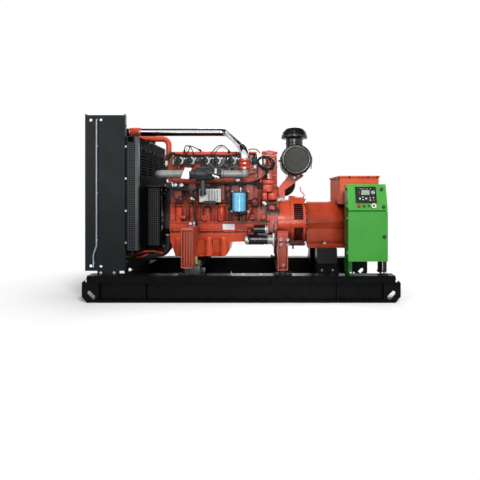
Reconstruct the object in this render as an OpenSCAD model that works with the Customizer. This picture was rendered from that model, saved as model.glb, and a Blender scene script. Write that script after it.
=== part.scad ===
/* [Skid] */
// Height of the skid rails
rail_h = 290; // [260:5:320]
// Width of the skid over its rails
skid_w = 1250; // [1220:10:1320]
// Width of a rail's flanges
flange_w = 130; // [120:5:150]
// Thickness of a rail's flanges and web
rail_t = 22; // [15:1:28]
// Height of the lip folded down from the top flange
lip_h = 77; // [60:1:90]
// Thickness of that lip
lip_t = 18; // [12:1:22]
// Distance of the web behind the lip's face
web_set = 52; // [46:1:60]
// Distance of a rail's stiffener from the rail's end
rib_inset = 621; // [500:10:700]
// Thickness of a stiffener or gusset plate
rib_t = 12; // [8:1:16]
// How far a lifting plate reaches past the rail's end
plate_reach = 62; // [55:1:80]
// How far a lifting plate runs back along the rail
plate_run = 120; // [110:5:160]
// Thickness of a lifting plate
plate_t = 22; // [16:1:25]
// Length of the slanted lifting slot
slot_l = 110; // [90:5:120]
// Width of the slanted lifting slot
slot_w = 50; // [40:1:55]
// Diameter of the shackle hole in a lifting plate's upper corner
eye_d = 36; // [26:1:40]
// Length of the opening in a rail's web behind its lifting slot
web_cut = 122; // [118:1:140]
// Width of the beams that cross the skid
beam_w = 100; // [80:5:120]
// Height of the low beams near the skid's ends
tie_h = 85; // [70:1:95]

/* [Lengths along the set] */
// How far the radiator stands past the rail's end
radiator_overhang = 47; // [20:1:55]
// Length of the radiator's side plates
radiator_l = 437; // [420:1:470]
// Length of the fan guard
guard_l = 143; // [130:1:170]
// Length of the belt guard
belt_guard_l = 179; // [170:1:200]
// Length of the engine's front cover
cover_l = 86; // [80:1:100]
// Length of the cylinder block
block_l = 1150; // [1140:5:1200]
// Length of the rear gear housing
gear_l = 126; // [110:1:140]
// Length of the flywheel housing
bell_l = 155; // [145:1:180]
// Length of the louvred adaptor
adaptor_l = 172; // [160:1:200]
// Length of the alternator's stator frame
stator_l = 862; // [840:2:950]
// Length of the alternator's end bell
end_bell_l = 50; // [40:1:70]
// Free rail behind the end bell
tail_l = 13; // [8:1:60]

/* [Radiator] */
// Width of the radiator over its side plates
radiator_w = 1130; // [1110:5:1150]
// Height of the side plates' foot above the ground
radiator_z = 331; // [325:1:345]
// Height of the side plates' top above the ground
radiator_top = 2035; // [2020:5:2060]
// Distance of the radiator's feet from its front edge
foot_inset = 137; // [120:1:150]
// Length of the radiator's feet
foot_l = 223; // [200:1:240]
// Depth of the folded edges of the side plates
fold_w = 45; // [35:1:50]
// Sheet thickness of the side plates
side_t = 8; // [5:1:10]
// How far the side plates' corner tabs rise above their top
tab_h = 12; // [8:1:16]
// Diameter of the lifting holes in the side plates
side_hole_d = 33; // [26:1:38]
// Distance of a side hole from the plate's top or foot
side_hole_z = 54; // [45:1:65]
// Distance of the first side hole from the plate's front edge
side_hole_x = 62; // [55:1:75]
// Distance between two side holes
side_hole_gap = 110; // [90:1:130]
// Depth of the charge cooler's core
cooler_d = 80; // [60:1:90]
// Depth of the radiator's core
core_d = 100; // [80:1:110]
// Height of the charge cooler's tanks
cooler_tank_h = 125; // [115:1:140]
// Height of the radiator's tanks
core_tank_h = 128; // [120:1:145]
// Height lost at the tanks' chamfered corners
tank_cut = 73; // [60:1:80]
// Half width of the tanks at their full height
tank_y = 330; // [310:1:350]
// Sideways shift of the overflow tube's lower end
tube_shift = 34; // [28:1:40]
// Pitch of the tube rows on the core's face
tube_pitch = 62; // [50:1:80]
// Height of a tube row
tube_h = 30; // [20:1:36]
// Gap between the cores and the sheets round them
sheet_gap = 0.3; // [0.2:0.1:0.5]
// Height of the fan guard's bottom edge
guard_z = 553; // [540:1:570]
// Height of the fan guard's top edge
guard_top = 1803; // [1790:1:1806]
// Thickness of the guard sheets
guard_t = 4; // [3:0.5:6]
// Radius of the fan
fan_r = 485; // [440:5:500]
// Number of fan blades
fan_blades = 8; // [6:1:10]
// Camber radius of a fan blade
blade_camber = 210; // [180:10:300]
// Radius of the fan's pulley
fan_pulley_r = 70; // [60:1:74]
// Radius of the crankshaft's pulley
crank_pulley_r = 130; // [110:1:140]
// Thickness of the fan belt
belt_thick = 9; // [7:1:10]
// Radius of the fan's shaft
fan_shaft_r = 30; // [24:1:36]
// Half width of the belt guard
belt_guard_hw = 300; // [280:5:320]
// Height of the belt guard's bottom
belt_guard_z = 548; // [540:1:560]
// Height of the belt guard's top
belt_guard_top = 1269; // [1262:1:1300]
// Number of louvre slots in one column of the rear guard sheet
louvre_n = 9; // [6:1:10]
// Pitch of the louvre slots
louvre_pitch = 34; // [30:1:38]

/* [Engine] */
// Height of the crankshaft and alternator axis
crank_z = 840; // [830:1:850]
// Half width of the crankcase skirt
skirt_hw = 250; // [240:1:256]
// Half width of the cylinder jacket
jacket_hw = 222; // [215:1:230]
// Half width of the upper block and the cylinder heads
head_hw = 190; // [180:1:200]
// Drop of the skirt's lower face below the crankshaft
skirt_drop = 110; // [100:1:120]
// Height of the cylinder jacket above the crankshaft
jacket_h = 204; // [190:1:215]
// Height of the block's deck above the crankshaft
deck_h = 390; // [380:1:400]
// Number of cylinders
cyl_n = 6; // [6:1:6]
// Distance between two cylinders
cyl_pitch = 168; // [166:1:170]
// Distance of the first cylinder from the block's front
cyl_first = 104; // [98:1:110]
// Height of a cylinder head
head_h = 203; // [190:1:215]
// Height of the rocker cover
cover_h = 255; // [245:1:265]
// Distance of the first ignition coil from the block's front
coil_first = 109; // [100:1:120]
// Distance between the two coils of a pair
coil_gap = 132; // [125:1:140]
// Distance between two pairs of coils
coil_pair_pitch = 313; // [300:1:320]
// Radius of a jacket bulge
bulge_r = 66; // [58:1:72]
// Length of the oil pan's deep sump
sump_l = 623; // [560:1:680]
// Depth of the oil pan at its sump
sump_h = 305; // [280:1:320]
// Depth of the oil pan's shallow part
pan_h = 128; // [110:1:140]
// Half width of the oil pan at its flange
pan_hw = 236; // [225:1:240]
// Draft of the oil pan's sides
pan_draft = 46; // [20:1:60]
// Number of lobes on the sump's side
pan_lobes = 4; // [3:1:4]
// Distance of the first lobe behind the block's front
pan_first = 101; // [90:1:110]
// Distance between two lobes
pan_pitch = 178; // [170:1:184]
// Radius of the flywheel housing
bell_r = 300; // [290:1:308]
// Half width of the gear housing
gear_hw = 262; // [252:1:270]
// Height of the breather tower above the deck
tower_h = 468; // [430:2:500]
// Half width of the breather tower
tower_hw = 130; // [110:1:150]
// Height of the flat on the flywheel housing above the crankshaft
bell_flat_h = 260; // [245:1:275]
// Radius of the starter motor
starter_r = 58; // [50:1:60]
// Radius of the starter's solenoid
solenoid_r = 48; // [40:1:50]
// Distance of the starter's axis from the engine's centre plane
starter_y = 330; // [325:1:340]
// Drop of the starter's axis below the crankshaft
starter_drop = 196; // [190:1:205]

/* [Air and charge lines] */
// Outer radius of the polished charge pipe
charge_r = 50; // [44:1:54]
// Drop of the charge pipe's level run below the side plates' top
charge_drop = 50; // [45:1:60]
// Bend radius of the charge pipe
charge_bend = 128; // [110:1:140]
// Distance of the air line's upright behind the block's front
drop_x = 892; // [880:1:900]
// Outer radius of the charge hoses' convolutions
bellows_r = 61; // [58:1:66]
// Distance of the air line from the engine's centre plane
air_y = 430; // [424:1:450]
// Height of the air line
air_z = 1398; // [1392:1:1405]
// Outer radius of the front air pipe
air_r = 45; // [40:1:48]
// Radius of the throttle body's wide part
throttle_r = 80; // [72:1:84]
// Outer radius of the hot charge pipe
hot_r = 44; // [38:1:48]
// Radius of the air filter
filter_r = 177; // [165:1:182]
// Length of the air filter
filter_l = 550; // [520:5:580]
// Height of the air filter's axis
filter_z = 1578; // [1570:1:1590]
// Distance of the filter's axis behind the adaptor's front face
filter_x = 64; // [50:1:80]
// Radius of the rain cap
cap_r = 166; // [150:1:175]
// Radius of the filter duct to the turbocharger
duct_r = 60; // [54:1:64]
// Bore of the exhaust outlet
exhaust_d = 120; // [100:1:130]
// Outer radius of the exhaust outlet's flange
exhaust_flange_r = 105; // [100:1:115]
// Bolt circle of the exhaust outlet's flange
exhaust_pcd = 175; // [170:1:185]
// Bolt hole of the exhaust outlet's flange
exhaust_hole_d = 14; // [11:1:16]

/* [Coolant lines] */
// Outer radius of the upper coolant pipe
coolant_r = 34; // [30:1:36]
// Height of the upper coolant pipe
coolant_z = 1846; // [1842:1:1850]
// Distance of the upper coolant pipe from the centre plane
coolant_y = 100; // [80:1:120]
// Outer radius of the lower coolant hose
bottom_hose_r = 40; // [36:1:42]
// Height of the lower coolant hose
bottom_hose_z = 395; // [388:1:410]
// Distance of the lower coolant hose from the centre plane
bottom_hose_y = 150; // [130:1:170]

/* [Alternator] */
// Radius of the stator frame
stator_r = 250; // [240:1:256]
// Radius of the louvred adaptor
adaptor_r = 311; // [305:1:318]
// Wall of the louvred adaptor
adaptor_t = 14; // [8:1:20]
// Number of louvre slots in the upper grille of the adaptor, the lower has one less
grille_n = 8; // [6:1:8]
// Pitch of those slots
grille_pitch = 24.5; // [22:0.5:26]
// Height of the alternator's feet above the ground
foot_z = 546; // [540:1:556]
// Thickness of the alternator's foot rails
foot_h = 46; // [36:1:54]
// Outer half width over the foot rails
foot_hw = 325; // [315:1:335]
// Distance of the stands behind the stator's front
stand_inset = 120; // [110:1:130]
// Width of the alternator's stands
stand_w = 230; // [200:5:250]
// Half width of the terminal box
box_hw = 292; // [280:1:300]
// Length of the terminal box
box_l = 452; // [430:1:460]
// Distance of the terminal box behind the stator's front
box_x = 403; // [396:1:410]
// Height of the terminal box's top
box_top = 1386; // [1370:1:1400]
// Overhang of the terminal box's lid
lid_over = 10; // [6:1:14]
// Height of the lid's skirt
lid_h = 20; // [16:1:30]

/* [Cabinet] */
// Distance of the cabinet's doors behind the stator's front
cabinet_x = 425; // [420:1:440]
// Width of the cabinet's doors
door_w = 429; // [410:1:440]
// Distance of the door faces from the centre plane
cabinet_y = 590; // [580:1:600]
// Depth of the cabinet behind the lower door's face
cabinet_d = 200; // [190:1:220]
// Height of the cabinet's floor
cabinet_z = 438; // [430:1:450]
// Height of the gap between the two doors
knee_z = 981; // [970:1:990]
// Gap between the two doors
door_gap = 13; // [12:1:16]
// Length of the upper door along its slope
upper_l = 294; // [285:1:305]
// Backward slope of the upper door in degrees
slope = 13.75; // [10:0.25:18]
// Thickness of the doors
door_t = 18; // [14:1:20]
// Gap behind a closed door
seal_gap = 5; // [5:0.5:8]
// Sheet thickness of the cabinet
sheet_t = 3; // [2:0.5:4]
// Width of the cabinet's angle legs
leg_w = 42; // [36:1:50]
// Radius of a hinge knuckle
knuckle_r = 8; // [7:0.5:10]
// Radius of a hinge pin
pin_r = 4; // [3:0.5:5]
// Running clearance in the hinges
hinge_gap = 0.3; // [0.2:0.1:0.5]
// Length of one hinge
hinge_l = 48; // [40:1:56]
// Width of the controller's face
panel_w = 225; // [200:1:235]
// Height of the controller's face
panel_h = 178; // [160:1:185]

/* [Hidden] */
$fn = 48;
eps = 1;

rail_l = radiator_l - radiator_overhang + guard_l + belt_guard_l + cover_l + block_l + gear_l
  + bell_l + adaptor_l + stator_l + end_bell_l + tail_l;
rail_y = skid_w / 2;
x_rail = -rail_l / 2;
x_rad = x_rail - radiator_overhang;
x_guard = x_rad + radiator_l;
x_belt = x_guard + guard_l;
x_cover = x_belt + belt_guard_l;
x_block = x_cover + cover_l;
x_gear = x_block + block_l;
x_bell = x_gear + gear_l;
x_adaptor = x_bell + bell_l;
x_stator = x_adaptor + adaptor_l;
x_end = x_stator + stator_l;
x_box = x_stator + box_x;
x_door = x_stator + cabinet_x;

skirt_z = crank_z - skirt_drop;
jacket_z = crank_z + jacket_h;
deck_z = crank_z + deck_h;
cover_z = deck_z + head_h;
head_l = cyl_n * cyl_pitch;
x_heads = x_block + cyl_first - cyl_pitch / 2;
function cyl_x(i) = x_block + cyl_first + i * cyl_pitch;

core_y = radiator_w / 2 - side_t - sheet_gap;
x_cooler = x_rad + side_t + sheet_gap;
x_core = x_cooler + cooler_d;
x_core_end = x_core + core_d;
core_z = radiator_z + 12;
core_top = radiator_top - 12;
fan_z = (guard_z + guard_top) / 2;

// Small vector functions for pipes that follow a bent centreline
function unit(v) = v / norm(v);
function turn(a, b) = acos(max(-1, min(1, unit(a) * unit(b))));
function across(d) = unit(cross(abs(d[2]) < 0.9 ? [0, 0, 1] : [1, 0, 0], d));
function trim(p, i, bend) =
  i == 0 || i == len(p) - 1 ? 0 : bend * tan(turn(p[i] - p[i - 1], p[i + 1] - p[i]) / 2);

// Places its children with their z axis along d and their origin at p
module aim(p, d) {
  z = unit(d);
  x = across(z);
  y = cross(z, x);
  multmatrix([
    [x[0], y[0], z[0], p[0]],
    [x[1], y[1], z[1], p[1]],
    [x[2], y[2], z[2], p[2]],
    [0, 0, 0, 1]
  ]) children();
}

module rod(p, q, r) {
  aim(p, q - p) cylinder(r = r, h = norm(q - p));
}

// One round elbow of a bent pipe, from direction a to direction b
module elbow(corner, a, b, r, bend) {
  y = unit(a);
  n = unit(unit(b) - (unit(b) * y) * y);
  x = -n;
  z = cross(x, y);
  c = corner - y * bend * tan(turn(a, b) / 2) + n * bend;
  multmatrix([
    [x[0], y[0], z[0], c[0]],
    [x[1], y[1], z[1], c[1]],
    [x[2], y[2], z[2], c[2]],
    [0, 0, 0, 1]
  ]) rotate_extrude(angle = turn(a, b)) translate([bend, 0]) circle(r = r);
}

// A round pipe along the points p with elbows of one bend radius, and weld beads at the
// elbows' ends where bead is over 0
module bent_pipe(p, r, bend, bead = 0) {
  gap = bead > 0 ? 1 : 0;
  for (i = [0 : len(p) - 2]) {
    d = unit(p[i + 1] - p[i]);
    t0 = trim(p, i, bend);
    t1 = trim(p, i + 1, bend);
    q0 = p[i] + d * (t0 > 0 ? t0 + gap : 0);
    q1 = p[i + 1] - d * (t1 > 0 ? t1 + gap : 0);
    rod(q0, q1, r);
    if (bead > 0 && t0 > 0) rod(q0 - d * 3, q0 + d * 3, r + bead);
    if (bead > 0 && t1 > 0) rod(q1 - d * 3, q1 + d * 3, r + bead);
  }
  for (i = [1 : 1 : len(p) - 2]) elbow(p[i], p[i] - p[i - 1], p[i + 1] - p[i], r, bend);
}

// A hose with round convolutions between two points
module bellows(p, q, r_low, r_high, n) {
  l = norm(q - p);
  s = l / n;
  aim(p, q - p) rotate_extrude() polygon(concat(
    [[0, 0]],
    [for (i = [0 : n - 1]) each [
      [r_low, i * s], [r_high, (i + 0.25) * s], [r_high, (i + 0.75) * s], [r_low, (i + 1) * s]
    ]],
    [[0, l]]
  ));
}

// Extrudes a y-z outline along the set from x0
module along_x(x0, l) {
  translate([x0, 0, 0]) rotate([90, 0, 90]) linear_extrude(l) children();
}

// Extrudes an x-z outline across the set from y0
module along_y(y0, l) {
  translate([0, y0 + l, 0]) rotate([90, 0, 0]) linear_extrude(l) children();
}

module box(x0, x1, y0, y1, z0, z1) {
  translate([x0, y0, z0]) cube([x1 - x0, y1 - y0, z1 - z0]);
}

module xcyl(x0, x1, y, z, r) {
  translate([x0, y, z]) rotate([0, 90, 0]) cylinder(r = r, h = x1 - x0);
}

module ycyl(x, y0, y1, z, r) {
  translate([x, y0, z]) rotate([-90, 0, 0]) cylinder(r = r, h = y1 - y0);
}

module zcyl(x, y, z0, z1, r) {
  translate([x, y, z0]) cylinder(r = r, h = z1 - z0);
}

module both_sides() {
  children();
  mirror([0, 1, 0]) children();
}

front_leg_x = x_block + 215;
front_leg_w = 125;
rear_leg_x = x_bell - 16;
rear_leg_w = 110;
mount_y = rail_y - flange_w / 2 - 4;
mount_r = 56;
front_mount_h = 80;
rear_mount_h = 55;
stand_x = x_stator + stand_inset;
stand_foot_y = rail_y - flange_w - 20;
beam_top = rail_h - rail_t;

charge_y = 215;
x_charge_bend = x_block + 625;
charge_z = radiator_top - charge_drop;
x_drop = x_block + drop_x;
drop_leg = 96;
hose_l = 150;
elbow_top = air_z + 52;
sleeve_l = 125;
x_throttle = x_drop - 254;
throttle_l = 362;
x_cross = x_block - 98;
x_manifold = x_block + 30;
manifold_y = 285;
manifold_d = 90;
turbo_y = 450;
turbo_z = 1200;
turbo_out_z = turbo_z - 126;
x_turbo = x_block + 1015;
hot_z = 410;
hot_y = 470;
hot_run_z = 985;
x_hot = x_belt + 90;
side_face = 285;

// Skid: two lipped channel rails with slotted lifting plates, tied by beams
module rail_outline() {
  polygon([
    [-rail_y, 0], [-rail_y + flange_w, 0], [-rail_y + flange_w, rail_t],
    [-rail_y + web_set + rail_t, rail_t], [-rail_y + web_set + rail_t, rail_h - rail_t],
    [-rail_y + flange_w, rail_h - rail_t], [-rail_y + flange_w, rail_h], [-rail_y, rail_h],
    [-rail_y, rail_h - lip_h], [-rail_y + lip_t, rail_h - lip_h],
    [-rail_y + lip_t, rail_h - rail_t], [-rail_y + web_set, rail_h - rail_t],
    [-rail_y + web_set, rail_t], [-rail_y, rail_t]
  ]);
}

// The slanted sling slot in each lifting plate
module sling_slot() {
  x0 = rail_l / 2;
  translate([x0 - slot_l / 2 + 18, rail_t + slot_l / 2]) rotate(45) {
    square([slot_l - slot_w, slot_w], center = true);
    for (s = [-1, 1]) translate([s * (slot_l - slot_w) / 2, 0]) circle(d = slot_w);
  }
}

module lifting_plate() {
  x0 = rail_l / 2;
  along_y(-rail_y + lip_t, plate_t) difference() {
    polygon([
      [x0 - plate_run, rail_t - eps], [x0 - eps, rail_t - eps], [x0 - eps, 0], [x0 + 9, 0],
      [x0 + plate_reach, plate_reach - 3], [x0 + plate_reach, rail_h - rail_t - plate_reach + 6],
      [x0, rail_h - rail_t + eps], [x0 - plate_run, rail_h - rail_t + eps]
    ]);
    sling_slot();
    translate([x0 + eye_d / 2 + 2, rail_h - rail_t - eye_d]) circle(d = eye_d);
  }
}

module rail() {
  difference() {
    along_x(x_rail, rail_l) rail_outline();
    for (s = [0, 1]) mirror([s, 0, 0])
      box(rail_l / 2 - web_cut, rail_l / 2 + eps, -rail_y + web_set - eps,
        -rail_y + web_set + rail_t + eps, rail_t, rail_t + web_cut + 8);
  }
  for (s = [-1, 1]) translate([s * (rail_l / 2 - rib_inset) - rib_t / 2, 0, 0])
    box(0, rib_t, -rail_y + lip_t - eps, -rail_y + web_set + eps, rail_t - eps, rail_h - rail_t + eps);
  lifting_plate();
  mirror([1, 0, 0]) lifting_plate();
}

module near_rail() color("#141416") rail();

module far_rail() color("#141416") mirror([0, 1, 0]) rail();

module beam_outline(w, top) {
  t = rail_t - 6;
  polygon([
    [-w / 2, rail_t], [w / 2, rail_t], [w / 2, rail_t + t], [t / 2, rail_t + t],
    [t / 2, top - t], [w / 2, top - t], [w / 2, top], [-w / 2, top], [-w / 2, top - t],
    [-t / 2, top - t], [-t / 2, rail_t + t], [-w / 2, rail_t + t]
  ]);
}

beam_y = rail_y - web_set - rail_t;
beam_inset = slot_l + beam_w / 2;
beam_xs = [
  x_guard, front_leg_x + front_leg_w / 2, rear_leg_x + rear_leg_w / 2, stand_x + stand_w / 2
];

module cross_beam(x, top) translate([x, 0, 0]) along_y(-beam_y, 2 * beam_y)
  beam_outline(beam_w, top);

module cross_beams() color("#17171a") {
  for (x = beam_xs) cross_beam(x, beam_top);
  for (x = [x_rail + beam_inset, -x_rail - beam_inset]) cross_beam(x, rail_t + tie_h);
}

tube_x = x_rad + radiator_l * 0.3;
tube_y = -radiator_w / 2 - 14;
tube_z = radiator_top - 50;
tube_r = 7;

// Radiator: folded side plates that hold the charge cooler and the radiator core
module radiator_side() {
  y0 = -radiator_w / 2;
  difference() {
    union() {
      translate([0, 0, radiator_z]) linear_extrude(radiator_top - radiator_z) polygon([
        [x_rad, y0], [x_guard, y0], [x_guard, y0 + fold_w], [x_guard - side_t, y0 + fold_w],
        [x_guard - side_t, y0 + side_t], [x_rad + side_t, y0 + side_t],
        [x_rad + side_t, y0 + fold_w], [x_rad, y0 + fold_w]
      ]);
      for (x = [x_rad, x_guard - side_t])
        box(x, x + side_t, y0, y0 + fold_w - 8, radiator_top - eps, radiator_top + tab_h);
      box(x_rad + foot_inset, x_rad + foot_inset + foot_l, y0 - 6, y0 + fold_w, rail_h,
        radiator_z + eps);
    }
    for (x = [x_rad + side_hole_x, x_rad + side_hole_x + side_hole_gap])
      for (z = [radiator_z + side_hole_z, radiator_top - side_hole_z])
        ycyl(x, y0 - eps, y0 + side_t + eps, z, side_hole_d / 2);
  }
}

module radiator_sides() color("#2a2c2e") difference() {
  both_sides() radiator_side();
  ycyl(tube_x, -radiator_w / 2 - eps, -radiator_w / 2 + side_t + eps, tube_z, tube_r + 2);
}

// Outline of the tanks across the set, with their corners cut off
module tank_outline() {
  polygon([
    [-core_y, core_z + tank_cut], [-tank_y, core_z], [tank_y, core_z],
    [core_y, core_z + tank_cut], [core_y, core_top - tank_cut], [tank_y, core_top],
    [-tank_y, core_top], [-core_y, core_top - tank_cut]
  ]);
}

// Rows of tubes on a core's face
module tube_rows(x0, x1, z0, z1) {
  for (z = [z0 + tube_pitch / 2 : tube_pitch : z1 - tube_h])
    box(x0, x1, -core_y + 12, core_y - 12, z, z + tube_h);
}

x_neck = x_core_end + 18;

module charge_cooler() color("#1b1d1f") {
  difference() {
    along_x(x_cooler, cooler_d) tank_outline();
    tube_rows(x_cooler - eps, x_cooler + 5, core_z + cooler_tank_h, core_top - cooler_tank_h);
  }
  intersection() {
    along_x(x_core - eps, core_d + eps) tank_outline();
    box(x_core - eps, x_core_end, -core_y, core_y, core_top - cooler_tank_h, core_top);
  }
  rod([x_core_end - 30, charge_y, charge_z], [x_neck, charge_y, charge_z], charge_r - 2);
  rod([x_core - 20, hot_y, hot_z], [x_neck, hot_y, hot_z], hot_r - 2);
}

core_tank_y = 300;

module radiator_core() color("#1e2022") difference() {
  union() {
    box(x_core + sheet_gap, x_core_end, -core_y, core_y, core_z + core_tank_h,
      core_top - cooler_tank_h - sheet_gap);
    intersection() {
      along_x(x_core + sheet_gap, core_d - sheet_gap) tank_outline();
      box(x_core, x_core_end, -core_y, core_tank_y, core_z, core_z + core_tank_h + eps);
    }
  }
  tube_rows(x_core_end - 5, x_core_end + eps, core_z + core_tank_h,
    core_top - cooler_tank_h - core_tank_h);
}

shroud_y = radiator_w / 2 - fold_w - 6;
shroud_z = core_z + core_tank_h + 40;
shroud_top = coolant_z - coolant_r - 20;

module fan_shroud() color("#1a1b1d") {
  x1 = x_guard - sheet_gap;
  difference() {
    box(x_core_end + sheet_gap, x1, -shroud_y, shroud_y, shroud_z, shroud_top);
    box(x_core_end, x1 - guard_t, -shroud_y + guard_t, shroud_y - guard_t,
      shroud_z + guard_t, shroud_top - guard_t);
    xcyl(x1 - guard_t - eps, x1 + eps, 0, fan_z, fan_r + 15);
  }
}

fan_x0 = x_core_end + 60;
fan_x1 = x_guard - 60;

// A cambered blade that stands on the hub, with its root at the origin
module blade() intersection() {
  translate([-30, -75, 0]) cube([60, 150, fan_r - 60]);
  translate([-blade_camber + 8, 0, 0]) difference() {
    cylinder(r = blade_camber, h = fan_r - 60);
    translate([0, 0, -eps]) cylinder(r = blade_camber - 6, h = fan_r);
  }
}

module fan() color("#26282a") {
  xcyl(fan_x0, fan_x1, 0, fan_z, 95);
  xcyl(fan_x1 - eps, x_cover - sheet_gap, 0, fan_z, fan_shaft_r);
  xcyl(x_belt + 30, x_belt + 90, 0, fan_z, fan_pulley_r);
  intersection() {
    xcyl(fan_x0, fan_x1, 0, fan_z, fan_r);
    for (i = [0 : fan_blades - 1]) translate([(fan_x0 + fan_x1) / 2, 0, fan_z])
      rotate([i * 360 / fan_blades, 0, 0]) translate([0, 0, 80]) rotate([0, 0, 32]) blade();
  }
}

guard_hw = radiator_w / 2 - 5;

module guard_panels() color("#303336") {
  x0 = x_guard + sheet_gap;
  both_sides() {
    box(x0, x_belt, -guard_hw, -guard_hw + guard_t, guard_z, guard_top - guard_t);
    box(x_belt - guard_t, x_belt, -guard_hw, -guard_hw + 48, guard_z, guard_top - guard_t);
    box(x0, x0 + guard_t, -guard_hw, -guard_hw + 30, guard_z, guard_top - guard_t);
  }
  box(x0, x_belt, -guard_hw, guard_hw, guard_top - guard_t, guard_top);
}

module louvre_slots(y0, y1, z0) {
  for (i = [0 : louvre_n - 1])
    box(x_belt - 2 * guard_t, x_belt + eps, y0, y1, z0 + i * louvre_pitch, z0 + i * louvre_pitch + 14);
}

module guard_rear_panel() color("#2c2f31") difference() {
  box(x_belt - guard_t, x_belt, -guard_hw + 48 + sheet_gap, guard_hw - 48 - sheet_gap,
    guard_z, guard_top - guard_t);
  xcyl(x_belt - guard_t - eps, x_belt + eps, 0, fan_z, fan_shaft_r + 6);
  for (y = [-guard_hw + 110 : 230 : guard_hw - 250])
    louvre_slots(y, y + 180, belt_guard_top + 120);
}

module belt_guard() color("#2a2d2f") difference() {
  box(x_belt, x_cover, -belt_guard_hw, belt_guard_hw, belt_guard_z, belt_guard_top);
  box(x_belt + guard_t, x_cover + eps, -belt_guard_hw + guard_t, belt_guard_hw - guard_t,
    belt_guard_z + guard_t, belt_guard_top - guard_t);
  xcyl(x_belt - eps, x_belt + guard_t + eps, 0, fan_z, fan_shaft_r + 6);
}

belt_x = x_belt + 42;
belt_w = 36;

// The part of the belt that wraps a pulley: way is 1 over the upper pulley, -1 under the lower
module belt_wrap(z, r, way) {
  rise = (crank_pulley_r - fan_pulley_r - sheet_gap) / (fan_z - crank_z);
  cut = z + (r + (way < 0 ? belt_thick : 0)) * rise;
  intersection() {
    difference() {
      xcyl(belt_x, belt_x + belt_w, 0, z, r + belt_thick);
      xcyl(belt_x - eps, belt_x + belt_w + eps, 0, z, r);
    }
    box(belt_x - eps, belt_x + belt_w + eps, -300, 300, way > 0 ? cut : z - 300,
      way > 0 ? z + 300 : cut);
  }
}

// Crankshaft pulley and the belt that drives the fan
module belt_drive() color("#333538") {
  r0 = crank_pulley_r - eps;
  r1 = fan_pulley_r + sheet_gap;
  a = asin((r0 - r1) / (fan_z - crank_z));
  n = [cos(a), sin(a)];
  xcyl(x_belt + 20, x_cover - sheet_gap, 0, crank_z, 60);
  xcyl(x_belt + 30, x_belt + 90, 0, crank_z, crank_pulley_r);
  belt_wrap(crank_z, r0, -1);
  belt_wrap(fan_z, r1, 1);
  both_sides() along_x(belt_x, belt_w) polygon([
    [0, crank_z] + n * r0, [0, crank_z] + n * (r0 + belt_thick),
    [0, fan_z] + n * (r1 + belt_thick), [0, fan_z] + n * r1
  ]);
}

// Overflow tube: out of the tank's chamfer through the near plate, down it and round the foot
module overflow_tube() color("#8d98a3") {
  bend_z = radiator_z + 275;
  low_x = tube_x - tube_shift;
  inner_y = -core_y + (core_y - tank_y) * (tube_z - tube_r - core_top + tank_cut) / tank_cut;
  clip_top = radiator_top - 349;
  clip_pitch = (clip_top - bend_z - 54) / 2;
  bent_pipe([
    [tube_x, inner_y - sheet_gap, tube_z], [tube_x, tube_y, tube_z], [tube_x, tube_y, bend_z],
    [low_x, tube_y, bend_z - 98], [low_x, tube_y, radiator_z + 40]
  ], tube_r, 22, 0.6);
  for (i = [0 : 2])
    box(tube_x - 8, tube_x + 8, tube_y, -radiator_w / 2, clip_top - i * clip_pitch,
      clip_top - i * clip_pitch + 20);
  box(low_x - 8, low_x + 8, tube_y, -radiator_w / 2, radiator_z + 80, radiator_z + 100);
}

// Charge air from the cooler over the engine to the throttle
module charge_hoses() color("#c8472a") {
  bellows([x_neck, charge_y, charge_z], [x_neck + hose_l, charge_y, charge_z],
    charge_r + 2, bellows_r, 4);
  bellows([x_drop, -air_y, elbow_top], [x_drop, -air_y, elbow_top + sleeve_l],
    charge_r + 2, bellows_r, 3);
}

pipe_foot = [x_drop, -air_y, elbow_top + sleeve_l + sheet_gap];
pipe_shoulder = pipe_foot + [0, 0, drop_leg];
pipe_crest = [x_charge_bend, charge_y, charge_z];
shoulder_bend = min(charge_bend,
  (drop_leg - 5) / tan(turn(pipe_shoulder - pipe_crest, pipe_foot - pipe_shoulder) / 2));

module charge_pipe() color("#d9dcde") bent_pipe(
  [[x_neck + hose_l + sheet_gap, charge_y, charge_z], pipe_crest, pipe_shoulder, pipe_foot],
  charge_r, shoulder_bend, 1.2);

module intake_elbow() color("#a0a39f") {
  zcyl(x_drop, -air_y, air_z, elbow_top, 48);
  translate([x_drop, -air_y, air_z]) sphere(r = 50);
  xcyl(x_throttle, x_drop, -air_y, air_z, 41);
  xcyl(x_throttle, x_throttle + 14, -air_y, air_z, 56);
}

module throttle_body() color("#24282c") {
  aim([x_throttle, -air_y, air_z], [-1, 0, 0]) rotate_extrude() polygon([
    [0, 0], [56, 0], [56, 14], [40, 14], [40, 78], [60, 90], [throttle_r, 150],
    [throttle_r, 290], [55, 300], [55, throttle_l - 16], [62, throttle_l - 16],
    [62, throttle_l], [0, throttle_l]
  ]);
  zcyl(x_throttle - 215, -air_y, air_z - 176, air_z, 33);
  zcyl(x_throttle - 215, -air_y, air_z - 240, air_z - 176, 24);
}

module front_air_pipe() color("#a0a39f") {
  x = x_throttle - throttle_l;
  bent_pipe([
    [x, -air_y, air_z], [x_cross, -air_y, air_z],
    [x_cross, manifold_y + manifold_d / 2, air_z], [x_manifold, manifold_y + manifold_d / 2, air_z]
  ], air_r, 90);
}

module intake_manifold() color("#c8472a") {
  y1 = manifold_y + manifold_d;
  along_x(x_manifold, cyl_x(cyl_n - 1) + 60 - x_manifold) polygon([
    [manifold_y, air_z - 50], [manifold_y + 14, air_z - 58], [y1 - 26, air_z - 58],
    [y1, air_z - 30], [y1, air_z + 30], [y1 - 26, air_z + 58], [manifold_y + 14, air_z + 58],
    [manifold_y, air_z + 50]
  ]);
  for (i = [0 : cyl_n - 1])
    box(cyl_x(i) - 36, cyl_x(i) + 36, head_hw, manifold_y + eps, air_z - 45, air_z + 30);
}

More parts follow.
